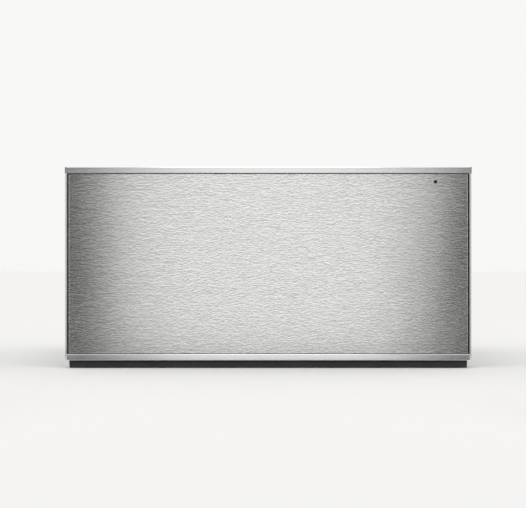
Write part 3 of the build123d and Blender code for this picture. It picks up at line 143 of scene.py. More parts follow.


# Stainless 1.4301, belt-ground sideways with grit 180: warm grey, streaked, soft mirror. The furrows are as
# fine as real ones. The short strokes over them are as wide as a pixel of the photograph, so that they show,
# and each has a painted shadow below it.
brushedStainless = groundMetal("brushedStainless", {
    "dark": "#C6C6C5", "light": "#FDFDFC", "scratch": (5.0, 5.0, 1.1), "paintedShadowDrop": 1.3, "paintedShadowShare": 0.6,
    "belt": (60.0, 60.0, 3.0), "beltShare": 0.04, "furrow": (26.0, 26.0, 0.22), "furrowShare": 0.9,
    "spread": 0.19, "rough": (0.20, 0.23), "relief": 0.004, "reliefShare": 0.4, "anisotropy": 0.94,
    "tangentRound": "Z"})

# The same sheet as made up into the body of the drawer, where its grain runs from front to back
bodyStainless = groundMetal("bodyStainless", {
    "dark": "#B8B7B4", "light": "#CDCCC9", "scratch": (0.6, 9.0, 0.6), "belt": (3.0, 70.0, 3.0),
    "beltShare": 0.35, "rough": (0.26, 0.33), "relief": 0.02, "reliefShare": 0.25, "anisotropy": 0.5,
    "tangentRound": "Z"})

# The same steel deep-drawn into the tub and blasted to a fine satin, with only a trace of the rolls
drawnStainless = groundMetal("drawnStainless", {
    "dark": "#BDBCB9", "light": "#CCCBC8", "scratch": (1.3, 1.3, 0.9), "belt": (30.0, 30.0, 12.0),
    "beltShare": 0.5, "rough": (0.24, 0.30), "relief": 0.01, "reliefShare": 0.25, "anisotropy": 0.3,
    "tangentRound": "Z"})

# Flat sheets of it inside, ground sideways with a finer belt
sheetStainless = groundMetal("sheetStainless", {
    "dark": "#B8B7B4", "light": "#CDCCC9", "scratch": (9.0, 9.0, 0.6), "belt": (70.0, 70.0, 3.0),
    "beltShare": 0.35, "rough": (0.26, 0.33), "relief": 0.02, "reliefShare": 0.25, "anisotropy": 0.6,
    "tangentRound": "Z"})

# Extruded aluminium, satin anodised: cool and even, finer grain than the steel, along each profile
barAluminium = groundMetal("barAluminium", {
    "dark": "#E8E9EA", "light": "#F4F5F5", "scratch": (9.0, 0.5, 0.5), "belt": (90.0, 2.0, 2.0),
    "beltShare": 0.3, "rough": (0.13, 0.18), "relief": 0.005, "reliefShare": 0.2, "anisotropy": 0.0,
    "tangentRound": "Z"})
stripAluminium = groundMetal("stripAluminium", {
    "dark": "#DFE0E1", "light": "#EAEBEB", "scratch": (0.5, 0.5, 9.0), "belt": (2.0, 2.0, 90.0),
    "beltShare": 0.3, "rough": (0.22, 0.28), "relief": 0.01, "reliefShare": 0.2, "anisotropy": 0.0,
    "tangentRound": "Z"})

# Rolled aluminium sheet with its mill finish: pale, dull, with rolling lines
millAluminium = groundMetal("millAluminium", {
    "dark": "#BFC1C3", "light": "#D5D6D7", "scratch": (1.0, 12.0, 1.0), "belt": (8.0, 90.0, 8.0),
    "beltShare": 0.5, "rough": (0.38, 0.5), "relief": 0.02, "reliefShare": 0.25, "anisotropy": 0.3,
    "tangentRound": "X"})

# Cold-rolled steel with bright blue-grey zinc plating, drawn lengthways by the rolls
platedRail = groundMetal("platedRail", {
    "dark": "#B4BABF", "light": "#C8CDD0", "scratch": (0.7, 22.0, 0.7), "belt": (5.0, 120.0, 5.0),
    "beltShare": 0.4, "rough": (0.24, 0.32), "relief": 0.01, "reliefShare": 0.2, "anisotropy": 0.3,
    "tangentRound": "Z"})

# Turned and plated screw steel
screwSteel = groundMetal("screwSteel", {
    "dark": "#A8A9A6", "light": "#D2D1CC", "scratch": (0.6, 0.6, 0.6), "belt": (4.0, 4.0, 4.0),
    "beltShare": 0.6, "rough": (0.24, 0.38), "relief": 0.01, "reliefShare": 0.3, "anisotropy": 0.0,
    "tangentRound": "Z"})

# Patented spring wire, oil-dark
springSteel = groundMetal("springSteel", {
    "dark": "#5F6264", "light": "#8F9294", "scratch": (0.4, 0.4, 0.4), "belt": (3.0, 3.0, 3.0),
    "beltShare": 0.6, "rough": (0.28, 0.4), "relief": 0.01, "reliefShare": 0.3, "anisotropy": 0.0,
    "tangentRound": "Y"})

# Hardened ball-bearing steel, lapped
ballSteel = groundMetal("ballSteel", {
    "dark": "#C4C5C6", "light": "#DADBDC", "scratch": (0.8, 0.8, 0.8), "belt": (5.0, 5.0, 5.0),
    "beltShare": 0.5, "rough": (0.10, 0.16), "relief": 0.002, "reliefShare": 0.2, "anisotropy": 0.0,
    "tangentRound": "Y"})

# Tubular heater sheath of nickel steel, annealed to a dull olive grey
heaterSheath = groundMetal("heaterSheath", {
    "dark": "#5B584E", "light": "#8A857A", "scratch": (1.0, 1.0, 1.0), "belt": (26.0, 26.0, 26.0),
    "beltShare": 1.2, "rough": (0.42, 0.58), "relief": 0.01, "reliefShare": 0.3, "anisotropy": 0.0,
    "tangentRound": "Z"})


def galvanisedSheet():
    # Hot-dip galvanised steel: crystals half a centimetre across, each with its own grey and gloss, under a
    # fine rolling texture
    look = {"crystal": 6.0, "warpScale": 1.4, "warp": 0.5, "bloom": 0.9, "bloomShare": 0.35,
            "dark": "#A0A5A8", "light": "#BDC1C3", "rough": (0.32, 0.5), "relief": 0.02, "reliefShare": 0.2}
    material, tree, shader = newMaterial("galvanisedSheet", {"Metallic": 1.0})
    place = patternPlace(tree, (look["crystal"],) * 3)
    warp = noiseAt(tree, place, 2.0, scale=look["warpScale"])
    bent = addNode(tree, "ShaderNodeVectorMath", {"operation": "MULTIPLY_ADD"}, {
        0: warp.outputs["Color"], 1: (look["warp"],) * 3, 2: place})
    crystals = addNode(tree, "ShaderNodeTexVoronoi", {"feature": "F1"}, {
        "Vector": bent.outputs[0], "Scale": 1.0})
    each = addNode(tree, "ShaderNodeSeparateColor", (), {"Color": crystals.outputs["Color"]})
    bloom = noiseAt(tree, patternPlace(tree, (look["bloom"],) * 3), 3.0)
    level = addNode(tree, "ShaderNodeMath", {"operation": "MULTIPLY_ADD"}, {
        0: bloom.outputs["Fac"], 1: look["bloomShare"], 2: each.outputs["Red"]})
    dressShader(tree, shader, look, level.outputs[0], each.outputs["Green"], bloom.outputs["Fac"])
    return material


grained = {"grainShare": 0.5, "levels": (0.45, 1.05), "glossFrom": (0.3, 0.7)}


def grainedSurface(name, look):
    # A dull coat or moulding: a grain of one size in its relief and gloss, and a slow drift in its colour
    material, tree, shader = newMaterial(name, {"IOR": look.get("ior", 1.5)})
    grain = noiseAt(tree, patternPlace(tree, look["grain"]), 3.0, 0.6)
    drift = noiseAt(tree, patternPlace(tree, look["drift"]), 2.0)
    level = addNode(tree, "ShaderNodeMath", {"operation": "MULTIPLY_ADD"}, {
        0: grain.outputs["Fac"], 1: grained["grainShare"], 2: drift.outputs["Fac"]})
    spread = addNode(tree, "ShaderNodeMapRange", (), {
        "Value": level.outputs[0], "From Min": grained["levels"][0], "From Max": grained["levels"][1]})
    dressShader(tree, shader, look, spread.outputs["Result"], grain.outputs["Fac"], grain.outputs["Fac"],
                grained["glossFrom"])
    return material


# Polyester powder coat, anthracite, fine orange peel
powderCoat = grainedSurface("powderCoat", {
    "dark": "#222223", "light": "#303031", "grain": (0.9, 0.9, 0.9), "drift": (40.0, 40.0, 40.0),
    "rough": (0.38, 0.5), "relief": 0.03, "reliefShare": 0.35})

# Extruded EPDM, black, bloomed to a dull skin
blackRubber = grainedSurface("blackRubber", {
    "dark": "#0C0C0D", "light": "#151516", "grain": (0.7, 0.7, 0.7), "drift": (20.0, 20.0, 20.0),
    "rough": (0.62, 0.8), "relief": 0.03, "reliefShare": 0.4})

# Silicone seal, dark grey, slightly greasy sheen
greySilicone = grainedSurface("greySilicone", {
    "dark": "#4B4C4E", "light": "#5A5B5D", "grain": (0.8, 0.8, 0.8), "drift": (25.0, 25.0, 25.0),
    "ior": 1.43, "rough": (0.42, 0.56), "relief": 0.02, "reliefShare": 0.3})

# Glass-filled polyamide, black, spark-eroded mould texture
blackPlastic = grainedSurface("blackPlastic", {
    "dark": "#161617", "light": "#202021", "grain": (0.5, 0.5, 0.5), "drift": (30.0, 30.0, 30.0),
    "ior": 1.53, "rough": (0.42, 0.6), "relief": 0.04, "reliefShare": 0.5})

# Ceramic ink fired on the glass of the touch keys, white
keyInk = grainedSurface("keyInk", {
    "dark": "#C4C5C4", "light": "#D2D3D2", "grain": (0.2, 0.2, 0.2), "drift": (12.0, 12.0, 12.0),
    "rough": (0.5, 0.6), "relief": 0.004, "reliefShare": 0.2})

# Polyamide, natural white with a warm tinge
whitePlastic = grainedSurface("whitePlastic", {
    "dark": "#CFCDC4", "light": "#DEDCD4", "grain": (0.6, 0.6, 0.6), "drift": (30.0, 30.0, 30.0),
    "ior": 1.53, "rough": (0.36, 0.5), "relief": 0.02, "reliefShare": 0.3})

# Acetal, mid grey, waxy
latchPlastic = grainedSurface("latchPlastic", {
    "dark": "#55585B", "light": "#65686B", "grain": (0.6, 0.6, 0.6), "drift": (20.0, 20.0, 20.0),
    "ior": 1.48, "rough": (0.3, 0.42), "relief": 0.02, "reliefShare": 0.3})

# Glass-ceramic, screen-printed black from below: deep, very smooth, with faint waviness
blackGlass = grainedSurface("blackGlass", {
    "dark": "#08080A", "light": "#101013", "grain": (2.5, 2.5, 2.5), "drift": (60.0, 60.0, 60.0),
    "ior": 1.54, "rough": (0.05, 0.09), "relief": 0.004, "reliefShare": 0.2})

# Smoked cover glass of the touch keys, etched to a satin
smokedGlass = grainedSurface("smokedGlass", {
    "dark": "#17171A", "light": "#1F1F23", "grain": (0.4, 0.4, 0.4), "drift": (30.0, 30.0, 30.0),
    "ior": 1.5, "rough": (0.14, 0.2), "relief": 0.004, "reliefShare": 0.25})

# Cast acrylic, wine red, unlit; bonded to the pane, so its face reflects little
redLens = grainedSurface("redLens", {
    "dark": "#2C0207", "light": "#380409", "grain": (0.8, 0.8, 0.8), "drift": (4.0, 4.0, 4.0),
    "ior": 1.15, "rough": (0.10, 0.18), "relief": 0.004, "reliefShare": 0.2})

# Solder mask over fibreglass, green
circuitBoard = grainedSurface("circuitBoard", {
    "dark": "#123B22", "light": "#1E5833", "grain": (1.1, 1.1, 1.1), "drift": (9.0, 9.0, 9.0), "ior": 1.5,
    "rough": (0.28, 0.4), "relief": 0.03, "reliefShare": 0.4})

# Rock wool bonded with resin: ochre fibres
mineralWool = grainedSurface("mineralWool", {
    "dark": "#8A7440", "light": "#C4AE77", "grain": (1.6, 1.6, 0.6), "drift": (14.0, 14.0, 8.0),
    "ior": 1.4, "rough": (0.85, 1.0), "relief": 0.5, "reliefShare": 0.8})

# Stacked electrical steel sheets, half a millimetre each, varnished
motorCore = grainedSurface("motorCore", {
    "dark": "#4A4644", "light": "#6E6965", "grain": (9.0, 0.5, 9.0), "drift": (20.0, 20.0, 20.0),
    "ior": 1.6, "rough": (0.4, 0.55), "relief": 0.08, "reliefShare": 0.6})


def clearPane():
    # Low-iron float glass, polished and coated: a mirror as strong as it reflects from where it is seen,
    # clear otherwise, and bent by the faint waves of the float bath. straightOn is what each face reflects.
    look = {"tint": "#F2F7F4", "rough": 0.02, "straightOn": 0.014, "fresnelPower": 5.0, "wave": 120.0,
            "relief": 0.02, "reliefShare": 0.3}
    material, tree, shader = newMaterial("clearPane", {
        "Metallic": 1.0, "Roughness": look["rough"], "Base Color": colour(look["tint"])})
    wave = noiseAt(tree, patternPlace(tree, (look["wave"],) * 3))
    relief = addNode(tree, "ShaderNodeBump", (), {
        "Height": wave.outputs["Fac"], "Strength": look["reliefShare"], "Distance": look["relief"] * mm})
    facing = addNode(tree, "ShaderNodeLayerWeight", (), {"Blend": 0.5})
    steep = addNode(tree, "ShaderNodeMath", {"operation": "POWER"}, {
        0: facing.outputs["Facing"], 1: look["fresnelPower"]})
    share = addNode(tree, "ShaderNodeMath", {"operation": "MULTIPLY_ADD"}, {
        0: steep.outputs[0], 1: 1 - look["straightOn"], 2: look["straightOn"]})
    tree.links.new(relief.outputs["Normal"], shader.inputs["Normal"])
    tree.links.new(share.outputs[0], shader.inputs["Alpha"])
    return material


finishes = {
    "clear_glass": clearPane(),
    "brushed_stainless": brushedStainless,
    "satin_aluminium": barAluminium,
    "black_rubber": blackRubber,
    "grey_silicone": greySilicone,
    "dark_flange": powderCoat,
    "zinc_sheet": galvanisedSheet(),
    "mineral_wool": mineralWool,
    "zinc_plated_rail": platedRail,
    "ball_steel": ballSteel,
    "screw_steel": screwSteel,
    "black_glass": blackGlass,
    "smoked_glass": smokedGlass,
    "black_plastic": blackPlastic,
    "white_plastic": whitePlastic,
    "circuit_board": circuitBoard,
    "red_lens": redLens,
    "heater_sheath": heaterSheath,
    "bare_aluminium": millAluminium,
    "motor_core": motorCore,
    "spring_steel": springSteel,
    "latch_plastic": latchPlastic,
}
ownFinish = {  # nodes whose grain runs another way than their slot's
    "frame_left_strip": stripAluminium,
    "frame_right_strip": stripAluminium,
    "drawer_sides": bodyStainless,
    "bottom_tray": bodyStainless,
    "tub": drawnStainless,
    "fan_cover": sheetStainless,
    "inner_panel": sheetStainless,
    "drawer_rear_sheet": sheetStainless,
}
slotOf = {part["node"]: part["material_slot"] for part in frame["record"]["subparts"]}
for name, node in nodes.items():
    finish = ownFinish.get(name, finishes[slotOf[name]])
    for slot in node.material_slots:
        slot.material = finish
print("finishes:", len({*finishes.values(), *ownFinish.values()}))


def mergedCopy(name):  # of a node's loose triangles
    shape = bmesh.new()
    shape.from_mesh(nodes[name].data)
    bmesh.ops.remove_doubles(shape, verts=shape.verts, dist=weld)
    return shape


def bridge(shape, below, above, smooth=False):  # faces between two rings that have equally many corners
    for step in range(len(below)):
        after = (step + 1) % len(below)
        shape.faces.new((below[step], below[after], above[after], above[step])).smooth = smooth


def placePiece(name, shape, body, slot, stands=()):
    mesh = bpy.data.meshes.new(name)
    shape.to_mesh(mesh)
    shape.free()
    mesh.materials.append(finishes[slot])
    piece = bpy.data.objects.new(name, mesh)
    bpy.context.scene.collection.objects.link(piece)
    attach(piece, body)
    if stands:
        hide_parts(*stands)
    return piece


paneGlass = {"film": 0.15}  # mm of bonding film, kept free so that glass and steel don't lie in one plane
shape = mergedCopy("front_pane")
paneBack = max(vert.co.y for vert in shape.verts)
for vert in shape.verts:
    if vert.co.y > paneBack - weld:
        vert.co.y -= paneGlass["film"] * mm
placePiece("clearPane", shape, "drawer", "clear_glass", ("front_pane",))
print("front pane set")

# The latch's spring, as a welded copy shaded smooth, with a mesh of its own
shape = mergedCopy("latch_spring")
for face in shape.faces:
    face.smooth = True
piece = placePiece("latchSpring", shape, "casing", "spring_steel", ("latch_spring",))
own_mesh(piece)
print("latch spring set")


def finishedMesh(source):  # what an object's modifiers make of it, as plain faces
    graph = bpy.context.evaluated_depsgraph_get()
    made = bmesh.new()
    mesh = bpy.data.meshes.new_from_object(source.evaluated_get(graph), depsgraph=graph)
    made.from_mesh(mesh)
    bpy.data.meshes.remove(mesh)
    return made


def workObject(name, shape):
    mesh = bpy.data.meshes.new(name)
    if shape:
        shape.to_mesh(mesh)
        shape.free()
    work = bpy.data.objects.new(name, mesh)
    bpy.context.scene.collection.objects.link(work)
    return work


# Rock wool slabs: cut from layered felt, so their faces are tufted and their cut edges show the layers
wool = {"voxel": {"ceiling_insulation": 3.2, "front_insulation": 4.0, "drawer_insulation": 5.0},
        "tuft": 17.0, "tuftDepth": 0.9, "fibre": 4.5, "layering": 2.2, "fibreDepth": 0.6, "sink": 0.8}


def woolSlab(name, node, body):
    work = workObject(name + "Work", mergedCopy(node))
    remesh = work.modifiers.new("felt", "REMESH")
    remesh.mode = "VOXEL"
    remesh.voxel_size = wool["voxel"][node] * mm
    shape = finishedMesh(work)
    bpy.data.objects.remove(work)
    shape.normal_update()
    low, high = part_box(node)
    for vert in shape.verts:
        tuft = noise.noise(vert.co / (wool["tuft"] * mm))
        pressed = Vector((vert.co.x, vert.co.y, vert.co.z * wool["layering"]))
        fibre = noise.noise(pressed / (wool["fibre"] * mm))
        sink = wool["sink"] - tuft * wool["tuftDepth"] - fibre * wool["fibreDepth"]
        place = vert.co - vert.normal * max(sink, 0.0) * mm
        vert.co = [min(max(place[axis], low[axis]), high[axis]) for axis in range(3)]
    for face in shape.faces:
        face.smooth = True
    placePiece(name, shape, body, "mineral_wool", (node,))


woolSlab("ceilingWool", "ceiling_insulation", "casing")
woolSlab("frontWool", "front_insulation", "drawer")
woolSlab("drawerWool", "drawer_insulation", "drawer")
print("wool slabs made")

# Cross-recessed pan-head screws, on the places and sizes of the CAD ones. threadDepth and pitch are in mm,
# and the other sizes are shares of the head's radius or height.
screws = {"segments": 20, "edge": 0.45, "domeSteps": (0.3, 0.6, 0.85), "domeReach": 0.8, "flat": 0.2,
          "recessReach": 0.66, "recessWidth": 0.17, "recessDepth": 1.3, "recessTop": 1.3, "recessTaper": 0.35,
          "recessFlare": 1.12, "threadDepth": 0.2, "pitch": 0.9, "rimFrom": 0.98, "shankFrom": 0.3, "seed": 7}


def screwIslands(node):
    shape = mergedCopy(node)
    shape.verts.ensure_lookup_table()
    seen, islands = set(), []
    for start in shape.verts:
        if start.index in seen:
            continue
        stack, island = [start], []
        seen.add(start.index)
        while stack:
            vert = stack.pop()
            island.append(vert.co.copy())
            for edge in vert.link_edges:
                other = edge.other_vert(vert)
                if other.index not in seen:
                    seen.add(other.index)
                    stack.append(other)
        islands.append(island)
    shape.free()
    return islands


def screwPlace(island):  # seat of the head, direction out of it, and the sizes in mm
    low = Vector([min(point[axis] for point in island) for axis in range(3)])
    high = Vector([max(point[axis] for point in island) for axis in range(3)])
    size = high - low
    axis = max(range(3), key=lambda at: abs(size[at] - (sum(size) - size[at]) / 2))
    middle = (low + high) / 2

    def radius(point):
        away = point - middle
        away[axis] = 0
        return away.length

    headRadius = max(radius(point) for point in island)
    shankRadius = min(radius(point) for point in island if radius(point) > headRadius * screws["shankFrom"])
    headLevels = [point[axis] for point in island if radius(point) > headRadius * screws["rimFrom"]]
    toHigh = high[axis] - max(headLevels) < weld
    out = Vector([0, 0, 0])
    out[axis] = 1 if toHigh else -1
    seat = middle.copy()
    seat[axis] = min(headLevels) if toHigh else max(headLevels)
    headHeight = max(headLevels) - min(headLevels)
    sizes = (headRadius, headHeight, shankRadius, size[axis] - headHeight)
    return seat, out, tuple(round(length / mm, 2) for length in sizes)


def lathe(profile, segments):  # profile of (radius, height) in mm, from the axis back to the axis
    shape = bmesh.new()
    rings = []
    for radius, height in profile:
        if radius == 0:
            rings.append([shape.verts.new((0, 0, height * mm))])
            continue
        away, turns = radius * mm, [2 * math.pi * step / segments for step in range(segments)]
        rings.append([shape.verts.new((away * math.cos(turn), away * math.sin(turn), height * mm))
                      for turn in turns])
    for below, above in zip(rings, rings[1:]):
        for step in range(segments):
            after = (step + 1) % segments
            corners = [below[step % len(below)], below[after % len(below)], above[after % len(above)],
                       above[step % len(above)]]
            kept = [corner for at, corner in enumerate(corners) if corner not in corners[:at]]
            shape.faces.new(kept)
    bmesh.ops.recalc_face_normals(shape, faces=shape.faces)
    return shape


def screwShape(sizes):  # one screw, standing on its seat
    headRadius, headHeight, shankRadius, length = sizes
    edge = screws["edge"] * headHeight
    profile = [(0, -length)]
    turns = max(2, round(length / screws["pitch"]))
    core = shankRadius - screws["threadDepth"]
    for turn in range(turns):
        level = -length + length * turn / turns
        profile += [(core, level), (shankRadius, level + 0.5 * length / turns)]
    profile += [(core, 0), (headRadius, 0), (headRadius, edge)]
    for share in screws["domeSteps"]:
        turn = share * math.pi / 2
        profile.append((headRadius * math.cos(turn * screws["domeReach"]),
                        edge + (headHeight - edge) * math.sin(turn)))
    profile += [(headRadius * screws["flat"], headHeight), (0, headHeight)]
    head = workObject("screwHead", lathe(profile, screws["segments"]))
    cutter = bmesh.new()
    reach, width = headRadius * screws["recessReach"], headRadius * screws["recessWidth"]
    outline = [(reach, -width), (reach, width), (width, width), (width, reach), (-width, reach),
               (-width, width), (-reach, width), (-reach, -width), (-width, -width), (-width, -reach),
               (width, -reach), (width, -width)]
    lower, upper = [
        [cutter.verts.new((x * mm * size, y * mm * size, level * headHeight * mm)) for x, y in outline]
        for size, level in ((screws["recessTaper"], 1 - screws["recessDepth"]),
                            (screws["recessFlare"], screws["recessTop"]))]
    cutter.faces.new(lower[::-1])
    cutter.faces.new(upper)
    bridge(cutter, lower, upper)
    bmesh.ops.recalc_face_normals(cutter, faces=cutter.faces)
    driver = workObject("screwRecess", cutter)
    cut = head.modifiers.new("recess", "BOOLEAN")
    cut.operation, cut.object, cut.solver = "DIFFERENCE", driver, "EXACT"
    screw = workObject("screw", finishedMesh(head))
    for done in (head, driver):
        bpy.data.objects.remove(done)
    return screw


def placingTree():
    tree = bpy.data.node_groups.new("setOnPlaces", "GeometryNodeTree")
    made = {}
    for name, kind in (("Places", "Geometry"), ("Shape", "Object"), ("Spin", "Float"), ("Seed", "Int"),
                       ("Material", "Material")):
        socket = tree.interface.new_socket(name, in_out="INPUT", socket_type="NodeSocket" + kind)
        made[name] = socket.identifier
    tree.interface.new_socket("Set", in_out="OUTPUT", socket_type="NodeSocketGeometry")
    given = addNode(tree, "NodeGroupInput").outputs
    out, along = [
        addNode(tree, "GeometryNodeInputNamedAttribute", {"data_type": "FLOAT_VECTOR"}, {"Name": name})
        for name in ("outward", "along")]
    upright = addNode(tree, "FunctionNodeAlignRotationToVector", {"axis": "Z"}, {
        "Vector": out.outputs["Attribute"]})
    lined = addNode(tree, "FunctionNodeAlignRotationToVector", {"axis": "X", "pivot_axis": "Z"}, {
        "Rotation": upright.outputs["Rotation"], "Vector": along.outputs["Attribute"]})
    turn = addNode(tree, "FunctionNodeRandomValue", {"data_type": "FLOAT"}, {
        2: 0.0, 3: given["Spin"], "Seed": given["Seed"]})
    spun = addNode(tree, "ShaderNodeCombineXYZ", (), {"Z": turn.outputs[1]})
    toRotation = addNode(tree, "FunctionNodeEulerToRotation", (), {"Euler": spun.outputs[0]})
    facing = addNode(tree, "FunctionNodeRotateRotation", {"rotation_space": "LOCAL"}, {
        "Rotation": lined.outputs["Rotation"], "Rotate By": toRotation.outputs[0]})
    one = addNode(tree, "GeometryNodeObjectInfo", (), {"Object": given["Shape"]})
    each = addNode(tree, "GeometryNodeInstanceOnPoints", (), {
        "Points": given["Places"], "Instance": one.outputs["Geometry"], "Rotation": facing.outputs[0]})
    real = addNode(tree, "GeometryNodeRealizeInstances", (), {"Geometry": each.outputs["Instances"]})
    dressed = addNode(tree, "GeometryNodeSetMaterial", (), {
        "Geometry": real.outputs["Geometry"], "Material": given["Material"]})
    addNode(tree, "NodeGroupOutput", (), {"Set": dressed.outputs["Geometry"]})
    return tree, made


placer, placerInputs = placingTree()


def setOnPlaces(joined, shape, places, material, spin=0.0, seed=0):  # places are (point, outward, along)
    points = bmesh.new()
    for place in places:
        points.verts.new(place[0])
    work = workObject("places", points)
    for name, column in (("outward", 1), ("along", 2)):
        directions = work.data.attributes.new(name, "FLOAT_VECTOR", "POINT")
        for at, place in enumerate(places):
            directions.data[at].vector = place[column]
    setter = work.modifiers.new("setter", "NODES")
    setter.node_group = placer
    for key, value in (("Shape", shape), ("Spin", spin), ("Seed", seed), ("Material", material)):
        setter[placerInputs[key]] = value
    made = finishedMesh(work)
    mesh = bpy.data.meshes.new("batch")
    made.to_mesh(mesh)
    made.free()
    joined.from_mesh(mesh)
    bpy.data.meshes.remove(mesh)
    for done in (work, shape):
        bpy.data.objects.remove(done)


def setScrews(name, node, body):
    kinds = {}
    for island in screwIslands(node):
        seat, out, sizes = screwPlace(island)
        kinds.setdefault(sizes, []).append((seat, out, out.orthogonal()))
    joined = bmesh.new()
    for sizes, places in kinds.items():
        setOnPlaces(joined, screwShape(sizes), places, screwSteel, math.pi, screws["seed"])
    placePiece(name, joined, body, "screw_steel", (node,))
    print(name, [(sizes, len(places)) for sizes, places in kinds.items()])


setScrews("casingScrewSet", "casing_screws", "casing")
setScrews("drawerScrewSet", "drawer_screws", "drawer")

# Beads pressed outwards into the casing sheets, which keep them from drumming; sizes and places in mm. The
# profile is in shares of half the width and of the height.
beads = {"width": 16.0, "height": 2.2, "arc": 10, "root": 0.25,
         "profile": ((1.0, 0.0), (0.86, 0.06), (0.72, 0.3), (0.58, 0.62), (0.44, 0.88), (0.3, 1.0)),
         "side": {"length": 430.0, "middle": 18.0, "heights": (140.0, 180.0, 220.0)},
         "top": {"length": 410.0, "middle": 18.0, "across": (-195.0, -65.0, 65.0, 195.0)},
         "rear": {"length": 430.0, "middle": 0.0, "heights": (118.0, 156.0)}}


def beadShape(length):  # lies along X, and stands out along Z
    shape = bmesh.new()
    rings = []
    for share, level in ((1.0, -beads["root"]),
                         *[(share, height * beads["height"]) for share, height in beads["profile"]]):
        radius, ring = beads["width"] / 2 * share, []
        for end, start in ((1, -90), (-1, 90)):
            middle = end * (length - beads["width"]) / 2
            for step in range(beads["arc"] + 1):
                turn = math.radians(start + 180 * step / beads["arc"])
                place = (middle + radius * math.cos(turn), radius * math.sin(turn), level)
                ring.append(shape.verts.new(Vector(place) * mm))
        rings.append(ring)
    for below, above in zip(rings, rings[1:]):
        bridge(shape, below, above, smooth=True)
    shape.faces.new(rings[0][::-1])
    shape.faces.new(rings[-1])
    bmesh.ops.recalc_face_normals(shape, faces=shape.faces)
    return workObject("bead", shape)


def beadPlaces():
    side, top, rear = beads["side"], beads["top"], beads["rear"]
    sideLow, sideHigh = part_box("side_panels")
    topOut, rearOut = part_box("top_panel")[1].z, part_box("rear_panel")[1].y
    along, across = Vector((0, 1, 0)), Vector((1, 0, 0))
    walls = [(Vector((x, side["middle"] * mm, height * mm)), Vector((sign, 0, 0)), along)
             for x, sign in ((sideLow.x, -1), (sideHigh.x, 1)) for height in side["heights"]]
    roof = [(Vector((x * mm, top["middle"] * mm, topOut)), Vector((0, 0, 1)), along) for x in top["across"]]
    back = [(Vector((rear["middle"] * mm, rearOut, height * mm)), Vector((0, 1, 0)), across)
            for height in rear["heights"]]
    return (side["length"], walls), (top["length"], roof), (rear["length"], back)


shape = bmesh.new()
for length, places in beadPlaces():
    setOnPlaces(shape, beadShape(length), places, finishes["zinc_sheet"])
placePiece("casingBeads", shape, "casing", "zinc_sheet")
print("casing beads pressed")

# Signs of the touch keys, printed on their glass: rings, each with a plain stroke or two; sizes in mm
keys = {"ring": 3.6, "line": 0.45, "thick": 0.05, "segments": 40, "sink": 0.01,
        "places": (-66.0, -33.0, 0.0, 33.0, 66.0),  # from the middle of the glass
        "strokes": (((0.0, 0.6, 0.0, 4.6),),
                    ((-1.7, 0.0, 1.7, 0.0),),
                    ((-1.7, 0.0, 1.7, 0.0), (0.0, -1.7, 0.0, 1.7)),
                    ((0.0, 0.0, 0.0, 2.1), (0.0, 0.0, 1.4, 0.0)),
                    ((-1.5, -1.2, 1.5, -1.2), (-1.5, 0.0, 1.5, 0.0), (-1.5, 1.2, 1.5, 1.2)))}


def printPlate(shape, corners, level):  # a closed flat plate with the given outline
    low = [shape.verts.new((x * mm, y * mm, level - keys["sink"] * mm)) for x, y in corners]
    high = [shape.verts.new((x * mm, y * mm, level + keys["thick"] * mm)) for x, y in corners]
    shape.faces.new(low[::-1])
    shape.faces.new(high)
    bridge(shape, low, high)


def keySigns():
    low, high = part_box("control_glass")
    middleX, middleY = (low.x + high.x) / 2 / mm, (low.y + high.y) / 2 / mm
    half = keys["line"] / 2
    shape = bmesh.new()
    for place, strokes in zip(keys["places"], keys["strokes"]):
        for step in range(keys["segments"]):
            turns = [2 * math.pi * at / keys["segments"] for at in (step, step + 1)]
            corners = [(keys["ring"] + side * half, turn) for turn, side in (
                (turns[0], -1), (turns[0], 1), (turns[1], 1), (turns[1], -1))]
            printPlate(shape, [(middleX + place + radius * math.cos(turn), middleY + radius * math.sin(turn))
                               for radius, turn in corners], high.z)
        for x0, y0, x1, y1 in strokes:
            aside = Vector((y0 - y1, x1 - x0)).normalized() * half
            ends = [Vector((middleX + place + x, middleY + y)) for x, y in ((x0, y0), (x1, y1))]
            printPlate(shape, [ends[0] + aside, ends[0] - aside, ends[1] - aside, ends[1] + aside], high.z)
    bmesh.ops.remove_doubles(shape, verts=shape.verts, dist=weld / 10)
    alike = {}
    for face in shape.faces:
        alike.setdefault(frozenset(vert.index for vert in face.verts), []).append(face)
    inner = [face for same in alike.values() if len(same) > 1 for face in same]  # between plates of one ring
    bmesh.ops.delete(shape, geom=inner, context="FACES")
    bmesh.ops.recalc_face_normals(shape, faces=shape.faces)
    return shape


piece = placePiece("keySigns", keySigns(), "drawer", "white_plastic")
piece.data.materials[0] = keyInk
print("key signs printed")

# Cable gland: two hexagon nuts, a barrel between them, a gripped dome nut and its rubber ring; sizes in mm
gland = {"bore": 4.0, "barrel": 8.0, "barrelEnd": 0.5, "across": 20.0, "nut": 4.0, "nutEdge": 0.7,
         "nutLap": 0.4, "dome": 8.5, "domeEdge": 0.6, "domeSink": 0.2, "domeRound": 2.0,
         "domeTurns": (0.4, 0.8, 1.2, math.pi / 2), "grips": 18, "gripDepth": 0.45, "gripUpTo": 0.5,
         "ring": 6.3, "ringSink": 0.9, "ringLip": 0.8, "slack": 0.01, "segments": 108}


def turned(shape, profile, middle):  # a closed profile of (radius, y, gripped) in mm, turned round the axis
    rings = []
    for radius, y, gripped in profile:
        ring = []
        for step in range(gland["segments"]):
            turn = 2 * math.pi * step / gland["segments"]
            notch = gland["gripDepth"] * max(0.0, math.cos(gland["grips"] * turn)) ** 2 if gripped else 0.0
            away = (radius - notch) * mm
            place = (middle.x + away * math.cos(turn), y * mm, middle.z + away * math.sin(turn))
            ring.append(shape.verts.new(place))
        rings.append(ring)
    for below, above in zip(rings, rings[1:] + rings[:1]):
        bridge(shape, below, above, smooth=True)


